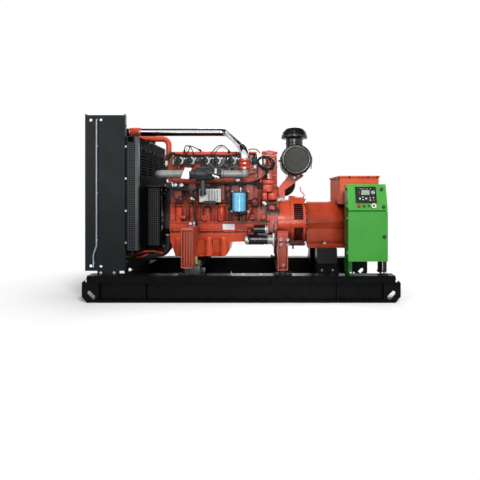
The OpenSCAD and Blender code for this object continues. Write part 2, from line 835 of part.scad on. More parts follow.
module exhaust_manifold() color("#5b4a42") {
  xcyl(cyl_x(0) - 45, x_turbo, manifold_y + 15, deck_z + 50, 42);
  for (i = [0 : cyl_n - 1])
    box(cyl_x(i) - 28, cyl_x(i) + 28, head_hw, manifold_y + 15, deck_z + 22, deck_z + 78);
}

// Turbocharger with the exhaust outlet bend and its drilled flange
module turbocharger() color("#6a6460") {
  x = x_turbo;
  z_top = deck_z + 330;
  difference() {
    union() {
      xcyl(x, x + 80, turbo_y, turbo_z, 84);
      translate([x + 40, turbo_y, turbo_z]) rotate([0, 90, 0])
        rotate_extrude() translate([78, 0]) circle(r = 36);
      box(x, x + 50, manifold_y - 20, turbo_y, turbo_z, deck_z + 90);
      xcyl(x + 80 - eps, x + 120, turbo_y, turbo_z, 50);
      xcyl(x + 120 - eps, x + 200, turbo_y, turbo_z, 84);
      translate([x + 160, turbo_y, turbo_z]) rotate([0, 90, 0])
        rotate_extrude() translate([80, 0]) circle(r = 34);
      xcyl(x + 200 - eps, x + 240, turbo_y, turbo_z, duct_r + 6);
      zcyl(x + 160, hot_y, turbo_out_z, turbo_z, hot_r - 2);
      bent_pipe([
        [x + 10, turbo_y, turbo_z], [x - 110, turbo_y, turbo_z], [x - 110, turbo_y, z_top - 4]
      ], exhaust_d / 2 + 7, 90);
      zcyl(x - 110, turbo_y, z_top - 16, z_top, exhaust_flange_r);
    }
    zcyl(x - 110, turbo_y, turbo_z + 110, z_top + eps, exhaust_d / 2);
    for (a = [45 : 90 : 315]) translate([x - 110, turbo_y, 0]) rotate([0, 0, a])
      zcyl(exhaust_pcd / 2, 0, z_top - 20, z_top + eps, exhaust_hole_d / 2);
  }
}

module hot_charge_pipe() color("#c8472a") {
  bent_pipe([
    [x_turbo + 160, hot_y, turbo_out_z], [x_turbo + 160, hot_y, hot_run_z],
    [x_hot, hot_y, hot_run_z], [x_hot, hot_y, hot_z], [x_neck, hot_y, hot_z]
  ], hot_r, 80);
}

x_filter = x_adaptor + filter_x;
filter_y0 = -filter_l / 2 - 25;
filter_y1 = filter_y0 + filter_l;

// Air filter: a ribbed canister with a dished service cover, clips and a rain cap
module air_filter() color("#101113") {
  translate([x_filter, filter_y1, filter_z]) rotate([90, 0, 0]) rotate_extrude() polygon([
    [0, 0], [filter_r - 22, 0], [filter_r - 8, 14], [filter_r - 8, 90], [filter_r, 96],
    [filter_r, filter_l - 92], [filter_r + 6, filter_l - 90], [filter_r + 6, filter_l - 70],
    [filter_r - 6, filter_l - 66], [filter_r - 6, filter_l - 12], [filter_r - 20, filter_l],
    [filter_r * 0.8, filter_l], [filter_r * 0.74, filter_l - 22], [0, filter_l - 30]
  ]);
}

cap_z = filter_z + filter_r;

module rain_cap() color("#131416") translate([x_filter, 0, cap_z - 30]) difference() {
  rotate_extrude() polygon([
    [0, 0], [105, 0], [105, 100], [108, 145], [cap_r, 153], [cap_r, 172], [cap_r - 8, 188],
    [cap_r * 0.86, 226], [cap_r * 0.66, 262], [cap_r * 0.36, 284], [0, 291]
  ]);
  translate([0, 0, 30 - cap_z + filter_z]) ycyl(0, -cap_r, cap_r, 0, filter_r + sheet_gap);
}

module filter_duct() color("#17181a") bent_pipe([
  [x_filter, filter_y1, filter_z], [x_filter, turbo_y, filter_z],
  [x_filter, turbo_y, turbo_z], [x_turbo + 240, turbo_y, turbo_z]
], duct_r, 110);

bell_top = crank_z + bell_flat_h;
bracket_y = 120;

// Bent channel arms that carry the filter above the flywheel housing
module filter_bracket() {
  x0 = x_bell + 12;
  x1 = x_filter + 92;
  z1 = filter_z - filter_r;
  w = 78;
  difference() {
    along_y(bracket_y - 60, 120) polygon([
      [x0, bell_top], [x0 + w, bell_top], [x0 + w, bell_top + 120], [x1, z1 - 16], [x1, z1 + 8],
      [x1 - 190, z1 + 8], [x1 - 190, z1 - 16], [x0, bell_top + 150]
    ]);
    along_y(bracket_y - 50, 100) polygon([
      [x0 + 10, bell_top + 14], [x0 + w - 10, bell_top + 14], [x0 + w - 10, bell_top + 118],
      [x1 - 30, z1 - 24], [x1 - 188, z1 - 24], [x0 + 10, bell_top + 142]
    ]);
    ycyl(x_filter, 0, 2 * bracket_y, filter_z, filter_r + sheet_gap);
  }
}

module filter_brackets() color("#d0532f") both_sides() filter_bracket();

// Coolant lines
thermostat_z = cover_z + 218;
x_thermostat = x_block - 48;

module coolant_top_pipe() color("#c8472a") bent_pipe([
  [x_core_end + sheet_gap, -coolant_y, coolant_z], [x_thermostat, -coolant_y, coolant_z],
  [x_thermostat, -coolant_y, thermostat_z]
], coolant_r, 80);

module coolant_bottom_hose() color("#131416") bent_pipe([
  [x_core_end + sheet_gap, -bottom_hose_y, bottom_hose_z],
  [x_core_end + 90, -bottom_hose_y, bottom_hose_z],
  [x_block - 43, -bottom_hose_y, bottom_hose_z + 70],
  [x_block - 43, -bottom_hose_y, skirt_z - 30]
], bottom_hose_r, 110, 2);

module thermostat_housing() color("#9c3a24") {
  y = -coolant_y;
  box(x_thermostat - 36, x_heads - sheet_gap, y - 62, y + 62, air_z + air_r + 12, thermostat_z - 20);
  zcyl(x_thermostat, y, thermostat_z - 21, thermostat_z, coolant_r + 10);
  box(x_cross + air_r + 8, x_heads - sheet_gap, y - 50, y + 50, deck_z + 90, air_z + air_r + 13);
}

// Oil pan: a drafted sump that steps up to a shallow tail, with lobes and flat raised panels
module oil_pan() color("#c8472a") {
  z0 = skirt_z - sump_h;
  z1 = skirt_z - pan_h;
  x1 = x_block + sump_l;
  pan_lobe_r = pan_draft + 8;
  lobe_top = skirt_z - 96;
  panel_w2 = 40;
  intersection() {
    along_y(-pan_hw - 20, 2 * pan_hw + 40) polygon([
      [x_block, skirt_z], [x_block, skirt_z - 120], [x_block + 56, z0], [x1, z0],
      [x1 + 44, z0 + 22], [x1 + 76, z0 + 66], [x1 + 95, z1], [x_gear, z1 + 14], [x_gear, skirt_z]
    ]);
    union() {
      along_x(x_block, x_gear - x_block) polygon([
        [-pan_hw, skirt_z], [-pan_hw, skirt_z - 40], [-pan_hw + pan_draft, z0],
        [pan_hw - pan_draft, z0], [pan_hw, skirt_z - 40], [pan_hw, skirt_z]
      ]);
      both_sides() for (i = [0 : pan_lobes - 1]) {
        x = x_block + pan_first + i * pan_pitch;
        zcyl(x, -pan_hw + pan_draft, z0 + 14, lobe_top, pan_lobe_r);
        translate([x, -pan_hw + pan_draft, lobe_top]) sphere(r = pan_lobe_r);
      }
      both_sides() for (i = [1 : pan_lobes - 2])
        along_x(x_block + pan_first + (i + 0.5) * pan_pitch - panel_w2, 2 * panel_w2) polygon([
          [0, lobe_top], [-pan_hw - 4, lobe_top], [-pan_hw + pan_draft - 14, z0 + 40], [0, z0 + 40]
        ]);
    }
  }
}

cover_hw = 190;

module cylinder_block() color("#c8472a") {
  along_x(x_block, block_l) polygon([
    [-skirt_hw, skirt_z], [-skirt_hw, crank_z + 6], [-jacket_hw, crank_z + 16],
    [-jacket_hw, jacket_z], [-head_hw, jacket_z + 24], [-head_hw, deck_z],
    [head_hw, deck_z], [head_hw, jacket_z + 24], [jacket_hw, jacket_z],
    [jacket_hw, crank_z + 16], [skirt_hw, crank_z + 6], [skirt_hw, skirt_z]
  ]);
  both_sides() for (i = [0 : cyl_n - 1]) {
    y = -jacket_hw + 40;
    zcyl(cyl_x(i), y, crank_z + 8, jacket_z - 60, bulge_r);
    translate([cyl_x(i), y, jacket_z - 60]) sphere(r = bulge_r);
  }
  along_x(x_cover, cover_l) polygon([
    [-cover_hw + 40, skirt_z - 30], [-cover_hw, skirt_z + 30], [-cover_hw, crank_z + 90],
    [-cover_hw + 60, crank_z + 240], [-130, deck_z - 10], [130, deck_z - 10],
    [cover_hw - 60, crank_z + 240], [cover_hw, crank_z + 90], [cover_hw, skirt_z + 30],
    [cover_hw - 40, skirt_z - 30]
  ]);
}

module cylinder_heads() color("#b5432a") for (i = [0 : cyl_n - 1])
  box(cyl_x(i) - cyl_pitch / 2 + 3, cyl_x(i) + cyl_pitch / 2 - 3, -head_hw, head_hw, deck_z, cover_z);

// Rocker cover: a drafted casting with a bolting flange and a round lid over each cylinder
module rocker_cover() color("#c8472a") {
  top = cover_z + cover_h;
  along_x(x_heads, head_l) polygon([
    [-172, cover_z], [-172, cover_z + 16], [-150, cover_z + 22], [-150, top - 26],
    [-124, top], [124, top], [150, top - 26], [150, cover_z + 22], [172, cover_z + 16],
    [172, cover_z]
  ]);
  for (i = [0 : cyl_n - 1]) translate([cyl_x(i), 0, top - eps]) rotate_extrude()
    polygon([[0, 0], [46, 0], [46, 5], [40, 11], [0, 11]]);
}

coil_z = cover_z + 136;
coil_y = -186;
function coil_x(i) = x_block + coil_first + floor(i / 2) * coil_pair_pitch + (i % 2) * coil_gap;

// Plate on the rocker cover's side that carries the coils, with a deep slotted middle
module coil_plate() color("#4a5054") along_y(coil_y, -150 - sheet_gap - coil_y) {
  web_low = cover_z + 22 + sheet_gap;
  translate([x_heads + 6, coil_z - 7]) square([head_l - 30, 50]);
  for (i = [0 : cyl_n - 1]) translate([coil_x(i), coil_z]) circle(r = 60);
  difference() {
    polygon([
      [coil_x(2) - 46, coil_z], [coil_x(2) - 46, coil_z - 60], [coil_x(2) - 10, web_low],
      [coil_x(4) - 30, web_low], [coil_x(4) + 30, coil_z - 66], [coil_x(4) + 30, coil_z]
    ]);
    for (x = [coil_x(2) + 26, coil_x(4) - 88]) {
      translate([x - 26, coil_z - 103]) square([52, 40]);
      for (s = [-26, 26]) translate([x + s, coil_z - 83]) circle(r = 20);
    }
  }
}

module ignition_coils() color("#111214") for (i = [0 : cyl_n - 1]) {
  ycyl(coil_x(i), coil_y - 34, coil_y, coil_z, 34);
  ycyl(coil_x(i), coil_y - 58, coil_y - 33, coil_z, 22);
}

module side_manifold() color("#c0472c") {
  xcyl(x_block + 40, x_gear - 60, -240, deck_z + 92, 40);
  for (i = [0 : cyl_n - 1])
    box(cyl_x(i) - 40, cyl_x(i) + 40, -262, -head_hw, jacket_z + 60, deck_z + 100);
  for (x = [cyl_x(2) - 60, cyl_x(2) + 120, cyl_x(4) - 20, cyl_x(4) + 90])
    box(x, x + 30, -side_face, -250, deck_z - 100, deck_z - 30);
}

module engine_controller() color("#b9bdbb") {
  x0 = cyl_x(2) - 72;
  x1 = x0 + 244;
  z0 = crank_z + 240;
  box(x0, x1, -side_face - 56, -side_face, z0, z0 + 153);
  for (i = [0 : 7]) box(x0 + 90 + i * 18, x0 + 98 + i * 18, -side_face - 72, -side_face - 55,
    z0 + 12, z0 + 141);
}

x_canister = x_block + 826;
canister_r = 80;
canister_z = crank_z + 132;
canister_h = 216;

module canister_frame() color("#2b3136") {
  x0 = x_canister - canister_r - 22;
  x1 = x_canister + canister_r + 22;
  y0 = -side_face - 2 * canister_r - 12;
  box(x0, x1, -side_face - 8, -side_face, canister_z, canister_z + canister_h + 10);
  box(x0, x1, y0, -side_face - 7, canister_z - 12, canister_z);
  for (x = [x0, x1 - 8])
    box(x, x + 8, y0 + 60, -side_face - 7, canister_z - 1, canister_z + canister_h + 10);
}

module canister() color("#4fb3e0")
  translate([x_canister, -side_face - 9 - canister_r, canister_z]) rotate_extrude() polygon([
    [0, 0], [canister_r - 10, 0], [canister_r - 3, 3], [canister_r, 10],
    [canister_r, canister_h - 22], [canister_r - 4, canister_h - 12],
    [canister_r - 16, canister_h - 4], [canister_r - 30, canister_h], [0, canister_h]
  ]);

ear_t = 18;
starter_z = crank_z - starter_drop;
starter_x = x_bell - ear_t - 20;

module gear_housing() color("#c8472a") {
  tower_top = deck_z + tower_h;
  along_x(x_gear, gear_l) polygon([
    [-gear_hw, skirt_z], [-gear_hw, jacket_z + 20], [-gear_hw + 60, deck_z], [gear_hw - 60, deck_z],
    [gear_hw, jacket_z + 20], [gear_hw, skirt_z], [gear_hw - 60, skirt_z - 120],
    [-gear_hw + 60, skirt_z - 120]
  ]);
  along_y(-tower_hw, 2 * tower_hw) polygon([
    [x_gear - 60, deck_z], [x_bell, deck_z], [x_bell, tower_top - 80], [x_bell - 24, tower_top - 40],
    [x_bell - 44, tower_top], [x_gear - 40, tower_top], [x_gear - 60, tower_top - 20]
  ]);
  box(x_gear - 120, x_gear - 60 + eps, -tower_hw + 10, tower_hw - 10, deck_z, deck_z + 300);
  zcyl(x_gear + 30, -20, tower_top - eps, tower_top + 14, 40);
  xcyl(starter_x, x_bell - 20, -starter_y, starter_z, starter_r + 22);
  box(starter_x, x_bell - 20, -starter_y, -gear_hw + 20, starter_z + 30, starter_z + 190);
  box(starter_x, x_bell - 20, -starter_y, -gear_hw + 70, starter_z - 60, starter_z + 60);
}

module flywheel_housing() color("#d0532f") {
  intersection() {
    xcyl(x_bell, x_adaptor, 0, crank_z, bell_r);
    box(x_bell, x_adaptor, -bell_r - eps, bell_r + eps, crank_z - bell_r - eps, bell_top);
  }
  box(x_bell, x_adaptor, -180, 180, crank_z, bell_top);
  both_sides() box(x_bell, x_adaptor - 40, -bell_r - 20, -200, crank_z - 250, crank_z - 95);
}

module starter_motor() color("#1a1c1e") {
  y = -starter_y;
  translate([starter_x - 348, y, starter_z]) rotate([0, 90, 0]) rotate_extrude() polygon([
    [0, 0], [starter_r - 22, 0], [starter_r - 12, 6], [starter_r - 10, 16], [starter_r, 18],
    [starter_r, 222], [starter_r - 6, 226], [starter_r - 6, 236], [starter_r, 240],
    [starter_r, 256], [starter_r - 10, 262], [starter_r - 12, 308], [starter_r - 2, 314],
    [starter_r - 2, 336], [starter_r - 12, 348], [0, 348]
  ]);
  xcyl(starter_x - 240, starter_x - 74, y, starter_z + 139 - 20, solenoid_r);
  box(starter_x - 200, starter_x - 80, y - 26, y + 26, starter_z + 40, starter_z + 90);
}

// Ribbed cast legs from the crankcase and the flywheel housing down to the rail mounts
leg_rib_t = 12;
leg_wall = 16;

module leg(x0, w, ribs, y0, z_top, z_foot, z_in, z_pocket) {
  outer_y = mount_y + mount_r;
  inner_y = mount_y - mount_r;
  pocket_w = (w - ribs * leg_rib_t) / (ribs - 1);
  difference() {
    along_x(x0, w) polygon([
      [-y0, z_top], [-outer_y + 16, z_top], [-outer_y, z_top - 16], [-outer_y, z_foot],
      [-inner_y, z_foot], [-inner_y, z_foot + 22], [-y0, z_in]
    ]);
    for (i = [0 : ribs - 2]) along_x(x0 + leg_rib_t + i * (pocket_w + leg_rib_t), pocket_w) polygon([
      [-outer_y - eps, z_pocket], [-outer_y - eps, z_foot + leg_wall],
      [-inner_y - 40, z_foot + leg_wall], [-inner_y - 24, z_foot + 40],
      [-inner_y - 24 + (z_pocket - z_foot - 60) * 0.35, z_pocket - 20],
      [-inner_y - 44 + (z_pocket - z_foot - 60) * 0.35, z_pocket]
    ]);
  }
}

module engine_legs() color("#c8472a") both_sides() {
  leg(front_leg_x, front_leg_w, 5, skirt_hw, crank_z - 40, rail_h + front_mount_h, crank_z - 130,
    crank_z - 60);
  leg(rear_leg_x, rear_leg_w, 3, bell_r + 20, crank_z - 95, rail_h + rear_mount_h, crank_z - 230,
    crank_z - 180);
}

module rubber_mount(x, h) {
  translate([x, -mount_y, rail_h]) rotate_extrude() polygon([
    [0, 0], [mount_r, 0], [mount_r, 10], [mount_r - 8, 14], [mount_r - 12, h - 14],
    [mount_r - 4, h - 8], [mount_r - 4, h], [0, h]
  ]);
}

module engine_mounts() color("#2b2f33") both_sides() {
  rubber_mount(front_leg_x + front_leg_w / 2, front_mount_h);
  rubber_mount(rear_leg_x + rear_leg_w / 2, rear_mount_h);
}

coupling_r = stator_r - 10;

// Adaptor: a ring wall with louvred grilles, ending in two flanges
module adaptor() color("#d0532f") {
  z0 = crank_z + 34;
  z1 = crank_z - 57;
  difference() {
    xcyl(x_adaptor, x_stator, 0, crank_z, adaptor_r);
    xcyl(x_adaptor + 14, x_stator - 14, 0, crank_z, adaptor_r - adaptor_t);
    xcyl(x_stator - 14 - eps, x_stator + eps, 0, crank_z, coupling_r + 12);
    for (i = [0 : grille_n - 1]) box(x_adaptor + 34, x_stator - 30, -adaptor_r - eps,
      adaptor_r + eps, z0 + i * grille_pitch, z0 + i * grille_pitch + 13);
    for (i = [0 : grille_n - 2]) box(x_adaptor + 34, x_stator - 30, -adaptor_r - eps,
      adaptor_r + eps, z1 - i * grille_pitch - 13, z1 - i * grille_pitch);
  }
}

module alternator() color("#b8431f") {
  top = foot_z + foot_h;
  xcyl(x_stator, x_end, 0, crank_z, stator_r);
  xcyl(x_stator, x_stator + 16, 0, crank_z, stator_r + 24);
  difference() {
    translate([x_end - eps, 0, crank_z]) rotate([0, 90, 0]) rotate_extrude() polygon([
      [0, 0], [stator_r - 16, 0], [stator_r - 16, end_bell_l - 18], [stator_r - 34, end_bell_l + eps],
      [96, end_bell_l + eps], [90, end_bell_l + 9], [0, end_bell_l + 9]
    ]);
    for (a = [0 : 30 : 330]) translate([x_end + end_bell_l - 12, 0, crank_z]) rotate([a, 0, 0])
      translate([0, -9, 118]) cube([14, 18, 82]);
  }
  xcyl(x_adaptor + 24, x_stator + eps, 0, crank_z, coupling_r);
  box(x_stator + 20, x_end, -stator_r + 14, stator_r - 14, top - eps, crank_z);
  both_sides() {
    box(x_stator + 24, x_end - 4, -stator_r - 8, -stator_r + 20, crank_z - 6, crank_z + 8);
    box(x_stator + 20, x_end - 10, -foot_hw, -foot_hw + 110, foot_z, top);
  }
}

module terminal_box() color("#c8472a") difference() {
  union() {
    box(x_box, x_box + box_l, -box_hw, box_hw, crank_z + 215, box_top - 6);
    box(x_box - lid_over, x_box + box_l + lid_over, -box_hw - lid_over, box_hw + lid_over,
      box_top - lid_h, box_top);
  }
  xcyl(x_box - eps, x_box + box_l + eps, 0, crank_z, stator_r + sheet_gap);
}

// The stands that carry the alternator's foot rails
module alternator_stand() {
  t = 12;
  x = stand_x;
  y1 = foot_hw - 105;
  foot_y = -stand_foot_y;
  for (xx = [x, x + stand_w - t]) along_x(xx, t) polygon([
    [-foot_hw - 40, foot_z], [-y1, foot_z], [-y1, beam_top], [foot_y, beam_top],
    [foot_y, beam_top + 40], [-foot_hw - 62, beam_top + 110]
  ]);
  along_x(x + t - eps, stand_w - 2 * t + 2 * eps) polygon([
    [-foot_hw - 40, foot_z], [-y1, foot_z], [-y1, foot_z - t], [-foot_hw - 28, foot_z - t],
    [-foot_hw - 50, beam_top + 110], [foot_y + t, beam_top + 40], [foot_y + t, beam_top + t],
    [-y1, beam_top + t], [-y1, beam_top], [foot_y, beam_top],
    [foot_y, beam_top + 40], [-foot_hw - 62, beam_top + 110]
  ]);
}

module alternator_stands() color("#151618") both_sides() alternator_stand();

// Cabinet: a sheet body with a sloped upper front, two hinged doors and angle legs
door_y = -cabinet_y;
body_gap = door_t + seal_gap;
cab_back = -cabinet_y + cabinet_d;
x_body = x_door + seal_gap;
body_w = door_w - 2 * seal_gap;
slope_z = knee_z + door_gap;

// A point of the upper door's frame: a is the depth behind its face, h the height up the slope
function on_slope(a, h) =
  [door_y + a * cos(slope) + h * sin(slope), slope_z - a * sin(slope) + h * cos(slope)];

// Places its children in the upper door's frame
module sloped() {
  translate([0, door_y, slope_z]) rotate([-slope, 0, 0]) children();
}

knee_h = (body_gap - body_gap * cos(slope)) / sin(slope);
body_knee = on_slope(body_gap, knee_h);
body_peak = on_slope(body_gap, upper_l);

module body_outline() {
  polygon([
    [door_y + body_gap, cabinet_z], [cab_back, cabinet_z], [cab_back, body_peak[1]],
    body_peak, body_knee
  ]);
}

module cabinet_body() color("#3f9a3a") {
  for (x = [x_body, x_body + body_w - sheet_t]) along_x(x, sheet_t) body_outline();
  box(x_body, x_body + body_w, cab_back - sheet_t, cab_back, cabinet_z, body_peak[1]);
  box(x_body, x_body + body_w, door_y + body_gap, cab_back, cabinet_z, cabinet_z + sheet_t);
  box(x_body, x_body + body_w, body_peak[0], cab_back, body_peak[1] - sheet_t, body_peak[1]);
  box(x_body, x_body + body_w, door_y + body_gap, door_y + body_gap + 14, body_knee[1] - 30,
    body_knee[1]);
}

module leg_angle(x, y, sx, sy) {
  translate([x, y, rail_h + 20]) linear_extrude(cabinet_z - rail_h - 20)
    polygon([[0, 0], [sx * leg_w, 0], [sx * leg_w, sy * 4], [sx * 4, sy * 4], [sx * 4, sy * leg_w],
      [0, sy * leg_w]]);
}

module cabinet_stand() color("#3c8f3b") {
  for (side = [0, 1]) {
    x = side == 0 ? x_body : x_body + body_w;
    s = side == 0 ? 1 : -1;
    leg_angle(x, door_y + body_gap, s, 1);
    leg_angle(x, cab_back, s, -1);
    box(min(x, x + s * (leg_w + 8)), max(x, x + s * (leg_w + 8)), -rail_y + 8, cab_back,
      rail_h, rail_h + 20 + eps);
  }
}

// One hinge: the lower half with its pin stays on the body, the upper half moves with the door
knuckle_x = x_door - 10;
knuckle_y = door_t / 2;
upper_hinges = [14, upper_l - 14 - hinge_l];
lower_hinges = [60, knee_z - cabinet_z - 60 - hinge_l];

module hinge_half(z) {
  h = hinge_l / 2 - hinge_gap;
  zcyl(knuckle_x, knuckle_y, z, z + h, knuckle_r);
  zcyl(knuckle_x, knuckle_y, z + h - eps, z + hinge_l - 4, pin_r);
  translate([0, 0, z]) linear_extrude(h) polygon([
    [knuckle_x - 3, knuckle_y], [knuckle_x + 3, knuckle_y + 4], [x_body, body_gap + 9],
    [x_body, body_gap + 50], [x_body - 5, body_gap + 50], [x_body - 6, body_gap + 12]
  ]);
}

module hinge_leaves() color("#141517") {
  for (z = upper_hinges) sloped() hinge_half(z);
  for (z = lower_hinges) translate([0, door_y, cabinet_z]) hinge_half(z);
}

module door_knuckle(z) {
  h = hinge_l / 2 + hinge_gap;
  difference() {
    union() {
      zcyl(knuckle_x, knuckle_y, z + h, z + hinge_l, knuckle_r);
      box(knuckle_x, x_door + eps, knuckle_y - 5, knuckle_y + 5, z + h, z + hinge_l);
    }
    zcyl(knuckle_x, knuckle_y, z + h - eps, z + hinge_l - 4 + hinge_gap, pin_r + hinge_gap);
  }
}

module door_lock(x, z) ycyl(x, -9, eps, z, 18);

panel_x = x_door + door_w / 2 - panel_w / 2 - 16;
panel_z = 84;

module upper_door() color("#5cb956") sloped() {
  difference() {
    box(x_door, x_door + door_w, 0, door_t, 0, upper_l);
    box(x_door + sheet_t, x_door + door_w - sheet_t, sheet_t, door_t + eps, sheet_t, upper_l - sheet_t);
    box(panel_x + 10, panel_x + panel_w - 10, -eps, sheet_t + eps, panel_z + 10, panel_z + panel_h - 10);
  }
  for (z = upper_hinges) door_knuckle(z);
  door_lock(x_door + 384, 38);
  door_lock(x_door + 376, 236);
}

module lower_door() color("#4ba545") translate([0, door_y, cabinet_z]) {
  difference() {
    box(x_door, x_door + door_w, 0, door_t, 0, knee_z - cabinet_z);
    box(x_door + sheet_t, x_door + door_w - sheet_t, sheet_t, door_t + eps, sheet_t,
      knee_z - cabinet_z - sheet_t);
  }
  for (z = lower_hinges) door_knuckle(z);
  door_lock(x_door + 390, (knee_z - cabinet_z) / 2);
}

module controller() color("#1e2326") sloped() {
  box(panel_x, panel_x + panel_w, -12, 0, panel_z, panel_z + panel_h);
  box(panel_x + 12, panel_x + panel_w - 12, -eps, 42, panel_z + 12, panel_z + panel_h - 12);
}

button_xs = [118, 174, 226, 278];
button_rs = [17, 16, 11, 33];

module panel_buttons() color("#d8d8d2") sloped() for (i = [0 : 3])
  ycyl(x_door + button_xs[i], -14, 0, 48, button_rs[i]);

near_rail();
far_rail();
cross_beams();
radiator_sides();
charge_cooler();
radiator_core();
fan_shroud();
fan();
guard_panels();
guard_rear_panel();
belt_guard();
belt_drive();
overflow_tube();
charge_hoses();
charge_pipe();
intake_elbow();
throttle_body();
front_air_pipe();
intake_manifold();
hot_charge_pipe();
turbocharger();
exhaust_manifold();
filter_duct();
air_filter();
rain_cap();
filter_brackets();
coolant_top_pipe();
coolant_bottom_hose();
thermostat_housing();
oil_pan();
cylinder_block();
cylinder_heads();
rocker_cover();
coil_plate();
ignition_coils();
side_manifold();
engine_controller();
canister();
canister_frame();
gear_housing();
flywheel_housing();
starter_motor();
engine_legs();
engine_mounts();
adaptor();
alternator();
terminal_box();
alternator_stands();
cabinet_body();
cabinet_stand();
hinge_leaves();
upper_door();
lower_door();
controller();
panel_buttons();
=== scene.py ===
import math

import bmesh
import bpy
from mathutils import Matrix, Vector


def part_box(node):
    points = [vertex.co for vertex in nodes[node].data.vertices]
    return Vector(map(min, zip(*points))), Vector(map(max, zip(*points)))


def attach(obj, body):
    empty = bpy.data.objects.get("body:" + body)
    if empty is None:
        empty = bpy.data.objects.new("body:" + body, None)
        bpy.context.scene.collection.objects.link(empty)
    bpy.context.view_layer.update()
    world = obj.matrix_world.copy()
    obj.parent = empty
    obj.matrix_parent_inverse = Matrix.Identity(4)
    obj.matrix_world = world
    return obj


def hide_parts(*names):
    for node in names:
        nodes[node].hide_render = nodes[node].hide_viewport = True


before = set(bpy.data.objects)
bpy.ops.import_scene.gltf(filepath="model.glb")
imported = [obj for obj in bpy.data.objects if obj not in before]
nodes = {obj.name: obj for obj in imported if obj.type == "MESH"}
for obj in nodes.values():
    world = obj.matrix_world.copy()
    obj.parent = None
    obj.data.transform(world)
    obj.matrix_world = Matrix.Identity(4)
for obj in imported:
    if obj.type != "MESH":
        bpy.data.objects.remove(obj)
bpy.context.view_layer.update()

genset = "generator_set"
print("frame loaded:", len(nodes), "solid nodes")


# Materials

def toLinear(hexCode):
    parts = [int(hexCode[i:i + 2], 16) / 255 for i in (1, 3, 5)]
    return [c / 12.92 if c <= 0.04045 else ((c + 0.055) / 1.055) ** 2.4 for c in parts] + [1.0]


# adds a shader node: settings are its own options, inputs are values or the sockets to link
def addNode(tree, kind, inputs=None, **settings):
    node = tree.nodes.new("ShaderNode" + kind)
    for key, value in settings.items():
        setattr(node, key, value)
    for key, value in (inputs or {}).items():
        if isinstance(value, bpy.types.NodeSocket):
            tree.links.new(value, node.inputs[key])
        else:
            node.inputs[key].default_value = value
    return node


def mixed(tree, factor, one, two):
    return addNode(tree, "Mix", {0: factor, 6: one, 7: two}, data_type="RGBA").outputs[2]


def ramp(tree, value, start, end, low=0.0, high=1.0, **settings):
    return addNode(tree, "MapRange", {"Value": value, "From Min": start, "From Max": end,
        "To Min": low, "To Max": high}, **settings).outputs[0]


def reckon(tree, operation, one, two):
    return addNode(tree, "Math", {0: one, 1: two}, operation=operation).outputs[0]


def onVector(tree, operation, *values):
    node = addNode(tree, "VectorMath", dict(enumerate(values)), operation=operation)
    return node.outputs[1 if operation == "LENGTH" else 0]


# an empty material with its shader, and the object coordinates every pattern reads
def newMaterial(name, shader):
    mat = bpy.data.materials.new(name)
    mat.use_nodes = True
    tree = mat.node_tree
    tree.nodes.clear()
    bsdf = addNode(tree, "BsdfPrincipled", shader)
    addNode(tree, "OutputMaterial", {0: bsdf.outputs[0]})
    mat.diffuse_color = toLinear("#808080")
    return mat, tree, bsdf, addNode(tree, "TexCoord").outputs["Object"]


# noise of a grain size in millimetres
def grain(tree, coords, size, detail):
    return addNode(tree, "TexNoise", {"Vector": coords, "Scale": 1000 / size, "Detail": detail,
        "Roughness": 0.5}).outputs["Fac"]


corners = {"reach": 0.07, "full": 0.25, "clear": 0.9}


# a coat of paint or the skin of a casting: two tones that drift over a patch size, and a fine
# bumpy surface; besides, painted shade darkens corners and the gaps between parts, a painted
# dark reflection darkens the underside of a pipe up to an X, and zone colours a part past an X
# another way, for a second paint and for painted shade
def coating(name, colour, shade, patch, rough, skin, bumpy, look={}):
    mat, tree, bsdf, coords = newMaterial(name, {"Metallic": look.get("metallic", 0.0),
        "Coat Weight": look.get("coat", 0.0), "Coat Roughness": 0.12, "IOR": 1.5,
        "Specular IOR Level": look.get("shine", 0.5)})
    alongX = addNode(tree, "SeparateXYZ", {0: coords}).outputs[0]
    drift = ramp(tree, grain(tree, coords, patch, 4.0), 0.35, 0.7)
    tone = mixed(tree, drift, toLinear(colour), toLinear(shade))
    # painted shade: ambient occlusion pulls the tone towards the corner colour in corners and
    # between parts
    if "cornerShade" in look:
        corner = addNode(tree, "AmbientOcclusion", {"Distance": corners["reach"]}, samples=6)
        inTheOpen = ramp(tree, corner.outputs["AO"], corners["full"], corners["clear"])
        tone = mixed(tree, inTheOpen, toLinear(look["cornerShade"]), tone)
    # painted reflection: the underside of a pipe, up to an X, is darkened towards a dark green tone
    if "darkReflection" in look:
        reflectionTone, end = look["darkReflection"]
        way = addNode(tree, "SeparateXYZ", {0: addNode(tree, "TexCoord").outputs["Normal"]})
        under = ramp(tree, way.outputs[2], -0.35, -0.55)
        reflectionMask = reckon(tree, "MULTIPLY", under, reckon(tree, "LESS_THAN", alongX, end))
        tone = mixed(tree, reflectionMask, tone, toLinear(reflectionTone))
    if "zone" in look:
        side, limit, paint = look["zone"]
        isThere = reckon(tree, side + "_THAN", alongX, limit)
        tone = mixed(tree, isThere, tone, toLinear(paint))
    wear = ramp(tree, grain(tree, coords, patch / 4, 5.0), 0.3, 0.7, rough - 0.06, rough + 0.1)
    surface = addNode(tree, "Bump", {"Height": grain(tree, coords, skin, 3.0), "Strength": bumpy,
        "Distance": 0.001})
    tree.links.new(tone, bsdf.inputs["Base Color"])
    tree.links.new(wear, bsdf.inputs["Roughness"])
    tree.links.new(surface.outputs[0], bsdf.inputs["Normal"])
    return mat


# shared by the cast enamels: a thin coat, a little shine and a colour of painted shade in their
# corners
cast = {"coat": 0.06, "shine": 0.25, "cornerShade": "#180603"}

